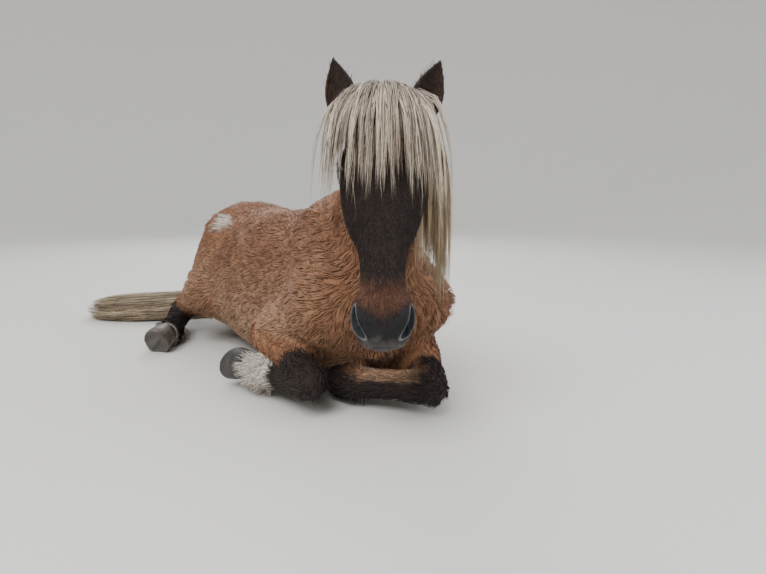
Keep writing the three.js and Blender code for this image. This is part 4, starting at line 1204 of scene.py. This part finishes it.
# %% Lids
lid_skin, t, shader = material("lid_skin", 0.35, 0.5)
mottled = noise(t, object_place(t), 300, 3)
t.links.new(blended(t, mottled, (0.008, 0.007, 0.008), (0.030, 0.024, 0.022)), shader.inputs["Base Color"])
bump(t, shader, mottled, 0.5, 0.0006)


def tube(line, radii):
    """A mesh tube along a line, from a curve with a round bevel."""
    curve = bpy.data.curves.new("tube", "CURVE")
    curve.dimensions = "3D"
    curve.bevel_depth = 1.0
    curve.bevel_resolution = 3
    curve.use_fill_caps = True
    spline = curve.splines.new("POLY")
    spline.points.add(len(line) - 1)
    for point, place, radius in zip(spline.points, line, radii):
        point.co = (*place, 1)
        point.radius = radius
    holder = bpy.data.objects.new("tube", curve)
    mesh = bpy.data.meshes.new_from_object(holder)
    bpy.data.objects.remove(holder)
    return mesh


upper_lid_lines = {}
for sign, side in sides:
    rims = []
    for edge_number, thickness in enumerate((0.0024, 0.0019)):  # the upper lid, then the lower
        x = np.linspace(-0.0178, 0.0178, 25)
        y = almond_height(x, 0.0178, 0.0108, 0.0093)[edge_number]
        z = np.sqrt(np.maximum((eye_radius + 0.0022) ** 2 - x**2 - y**2, 0))
        line = eye_places[side] + np.column_stack([x, y, z]) @ eye_axes(sign)
        rims.append(tube(line, thickness * np.sqrt(np.clip(1 - (x / 0.0195) ** 2, 0.05, 1))))
        upper_lid_lines.setdefault(side, line)
    add_piece(joined_meshes(rims, f"lids_{side}"), f"lids_{side}", lid_skin, "dark_coat")

# %% Horn
horn, t, shader = material("horn", 0.45, 0.4)
sole_in, crown_in, light_in, _ = attribute(t, "horn")
place = object_place(t)
grain = noise(t, place, 90, 4)
streak = noise(t, place, 26, 4, (1, 1, 0.35))
streaky = between(t, streak, 0.3, 0.7)
colour = blended(t, streaky, (0.014, 0.012, 0.012), (0.058, 0.050, 0.045))
colour = blended(t, light_in, colour, blended(t, streaky, (0.055, 0.040, 0.033), (0.150, 0.118, 0.098)))
colour = blended(t, between(t, grain, 0.5, 0.9, 0, 0.4), colour, (0.13, 0.115, 0.10))
colour = blended(t, sole_in, colour, blended(t, grain, (0.040, 0.035, 0.031), (0.110, 0.098, 0.086)))
t.links.new(blended(t, crown_in, colour, (0.016, 0.013, 0.012)), shader.inputs["Base Color"])
bump(t, shader, sum_of(t, grain, streak, 0.8, 0, False), 0.5, 0.0014)
print("horn:", len(t.nodes), "nodes")

# %% Hooves
turns = 40
for leg, line in leg_lines.items():
    kind, side = leg.split("_")
    hoof = remeshed(merged_copy([f"{kind}_hoof_{side}"]), 0.0026)
    hoof_edges = edges_of(hoof)
    shape = eased(points_of(hoof), hoof_edges, 10)
    set_points(hoof, shape)
    axis = unit(line[4] - line[3])
    # The heel is the side towards which the fetlock bends, and the wall is shorter there than at the toe.
    heel = line[0] - line[2] if kind == "fore" else line[2] - line[0]
    heel = unit(heel - axis * np.dot(heel, axis))
    along = (shape - line[3]) @ axis
    along -= along.min()
    height = along.max()
    middle = (shape.max(axis=0) + shape.min(axis=0)) / 2
    heelward = (shape - middle) @ heel
    half = np.abs(heelward).max()
    sideward = (shape - middle) @ np.cross(axis, heel)
    # The wall is made round and flares from the crown to the sole.
    reach = np.hypot(sideward, heelward)
    bands = np.linspace(0, height, 9)
    widths = [np.max(reach[np.abs(along - band) < height / 9]) for band in bands]
    width = np.interp(along, bands, widths)
    turn = ((np.arctan2(heelward, sideward) / (2 * math.pi) + 0.5) * turns).astype(int) % turns
    rim = np.zeros(turns)
    np.maximum.at(rim, turn, reach / width)
    rim = np.maximum(rim, 0.7)
    rim = (np.roll(rim, 1) + 2 * rim + np.roll(rim, -1)) / 4
    flare = half * (0.74 + 0.24 * along / height) / width / rim[turn]
    from_axis = np.outer(sideward, np.cross(axis, heel)) + np.outer(heelward, heel)
    shape = shape + from_axis * (np.clip(flare, 0.7, 1.3) - 1)[:, None]
    sideward, heelward = sideward * flare, heelward * flare
    # Rings and crown on the wall, then the hollow sole with its frog
    outward = normals_of(hoof)
    sole = eased(np.clip((outward @ axis - 0.55) / 0.25, 0, 1), hoof_edges, 2)
    wall = 1 - np.abs(outward @ axis)
    ring = 0.0008 * np.sin(along / 0.0080 * 2 * math.pi + 1.2 * np.sin(heelward * 40))
    crown = np.exp(-(((along - 0.10 * height) / (0.09 * height)) ** 2)) * wall
    shape = shape + outward * (ring * wall + 0.0008 * crown)[:, None]
    hollow = 0.012 * np.clip(1 - (np.hypot(sideward, heelward) / (0.84 * half)) ** 2, 0, 1) ** 0.5
    frog_width = 0.004 + 0.014 * np.clip(heelward / half + 0.3, 0, 1)
    frog = 0.009 * np.exp(-((sideward / frog_width) ** 2)) * np.clip((heelward / half + 0.4) / 0.3, 0, 1)
    shortened = math.tan(math.radians(17)) * (heelward + half) * along / height
    shape = shape - axis * (sole * (hollow - frog) + shortened)[:, None]
    shape[:, 2] = np.maximum(shape[:, 2], 0.0005)
    set_points(hoof, eased(shape, hoof_edges, 3, 0.4))
    light = np.full(len(shape), 0.8 if leg == "hind_right" else 0.0)
    put_colours(hoof, "horn", [sole, np.clip(crown * 1.2, 0, 1), light, np.ones(len(shape))])
    add_piece(hoof, f"hoof_{kind}_{side}", horn, "hoof", f"{kind}_hoof_{side}")

# %% [markdown]
# # Small hairs
# Lashes, whiskers on lips and chin, the hair in the ears, and the longer hair behind the fetlocks finish
# the animal. They are made with the same tufts, one by one where they grow.


# %% Lashes
def small_hairs(name, roots, headings, lengths, width, bend, marks, seed, droop=0.0):
    """Single hairs from roots along headings; bend turns them sideways, droop pulls them down."""
    steps = 4
    chance = np.random.default_rng(seed)
    number = len(roots)
    headings = unit(headings)
    steady = unit(np.cross(headings, chance.normal(0, 1, (number, 3))))
    lines = np.empty((number, steps + 1, 3))
    for k in range(steps + 1):
        s = k / steps
        lines[:, k] = roots + headings * (lengths * s)[:, None] + steady * (bend * lengths * s * s)[:, None]
        lines[:, k, 2] -= droop * lengths * s * s
    wide = width * chance.uniform(0.8, 1.2, number)
    colours = {"tuft": chance.random(number), "clump": chance.random(number),
               "marks": [np.broadcast_to(mark, number) for mark in marks]}
    plant(name, tuft_pattern(steps, 0.2), lines, steady[:, None, :], wide, 0.6, uv_near(roots), colours, fur)


lash_count = 60
for sign, side in sides:
    line = upper_lid_lines[side][3:-3]
    chance = np.random.default_rng(51)
    pick = chance.uniform(0, len(line) - 1.001, lash_count)
    low = pick.astype(int)
    roots = line[low] + (line[low + 1] - line[low]) * (pick - low)[:, None]
    headings = np.array([0, 0.25, 1]) @ eye_axes(sign) + chance.normal(0, 0.12, (lash_count, 3))
    headings += np.array([0, 0, -0.25])
    small_hairs(f"lashes_{side}", roots, headings, chance.uniform(0.012, 0.019, lash_count), 0.00045, 0.1,
                (1, 0, 0, 0), 52, droop=0.2)

# %% Whiskers
chance = np.random.default_rng(61)
whisker_count = 150
chosen, shares = sown(whisker_count, muzzle * (1 - nostril_and_lip_shade) * (down > 0.50) * ~is_ear, chance)
roots = at_roots(points, chosen, shares)
headings = at_roots(normals, chosen, shares) + head_down * 0.5 + chance.normal(0, 0.15, (whisker_count, 3))
small_hairs("whiskers", roots, headings, chance.uniform(0.015, 0.045, whisker_count), 0.00040, 0.15,
            (0.8, 0, 0, 0), 62, droop=0.15)

# %% Hair in the ears
chance = np.random.default_rng(71)
number = 480
in_cup = is_ear * np.clip(np.sum(normals * head_out, axis=1), 0, 1) * (down > -0.060)
chosen, shares = sown(number, in_cup, chance)
roots = at_roots(points, chosen, shares)
headings = ear_up * 0.9 + head_out * 0.20 + chance.normal(0, 0.16, (number, 3))
small_hairs("ear_hair", roots, headings, chance.uniform(0.012, 0.026, number), 0.0007, 0.25,
            (0.62, 0.3, 0, 0), 72)

# %% Hair behind the fetlocks and over the crowns of the hooves
chance = np.random.default_rng(81)
number = 2600
fetlock, behind = np.zeros(count), np.zeros((count, 3))
for line in leg_lines.values():
    here = np.maximum(spot(line[2], 0.055, 0.6), spot(line[3], 0.050, 0.6)) * toe_share
    fetlock = np.maximum(fetlock, here)
    behind += here[:, None] * unit(line[4] - line[2])
chosen, shares = sown(number, fetlock, chance)
roots = at_roots(points, chosen, shares)
headings = at_roots(behind, chosen, shares) + 0.35 * at_roots(normals, chosen, shares)
headings += chance.normal(0, 0.12, (number, 3)) * 0.3
marks = [at_roots(marking, chosen, shares) for marking in markings]
small_hairs("feather", roots, headings, chance.uniform(0.022, 0.040, number), 0.0012, 0.1, marks, 82,
            droop=0.15)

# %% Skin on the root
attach(skin, "root")
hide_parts(*flesh, "ear_right", "ear_left")
print("solids that the skin stands for:", len(flesh) + 2)
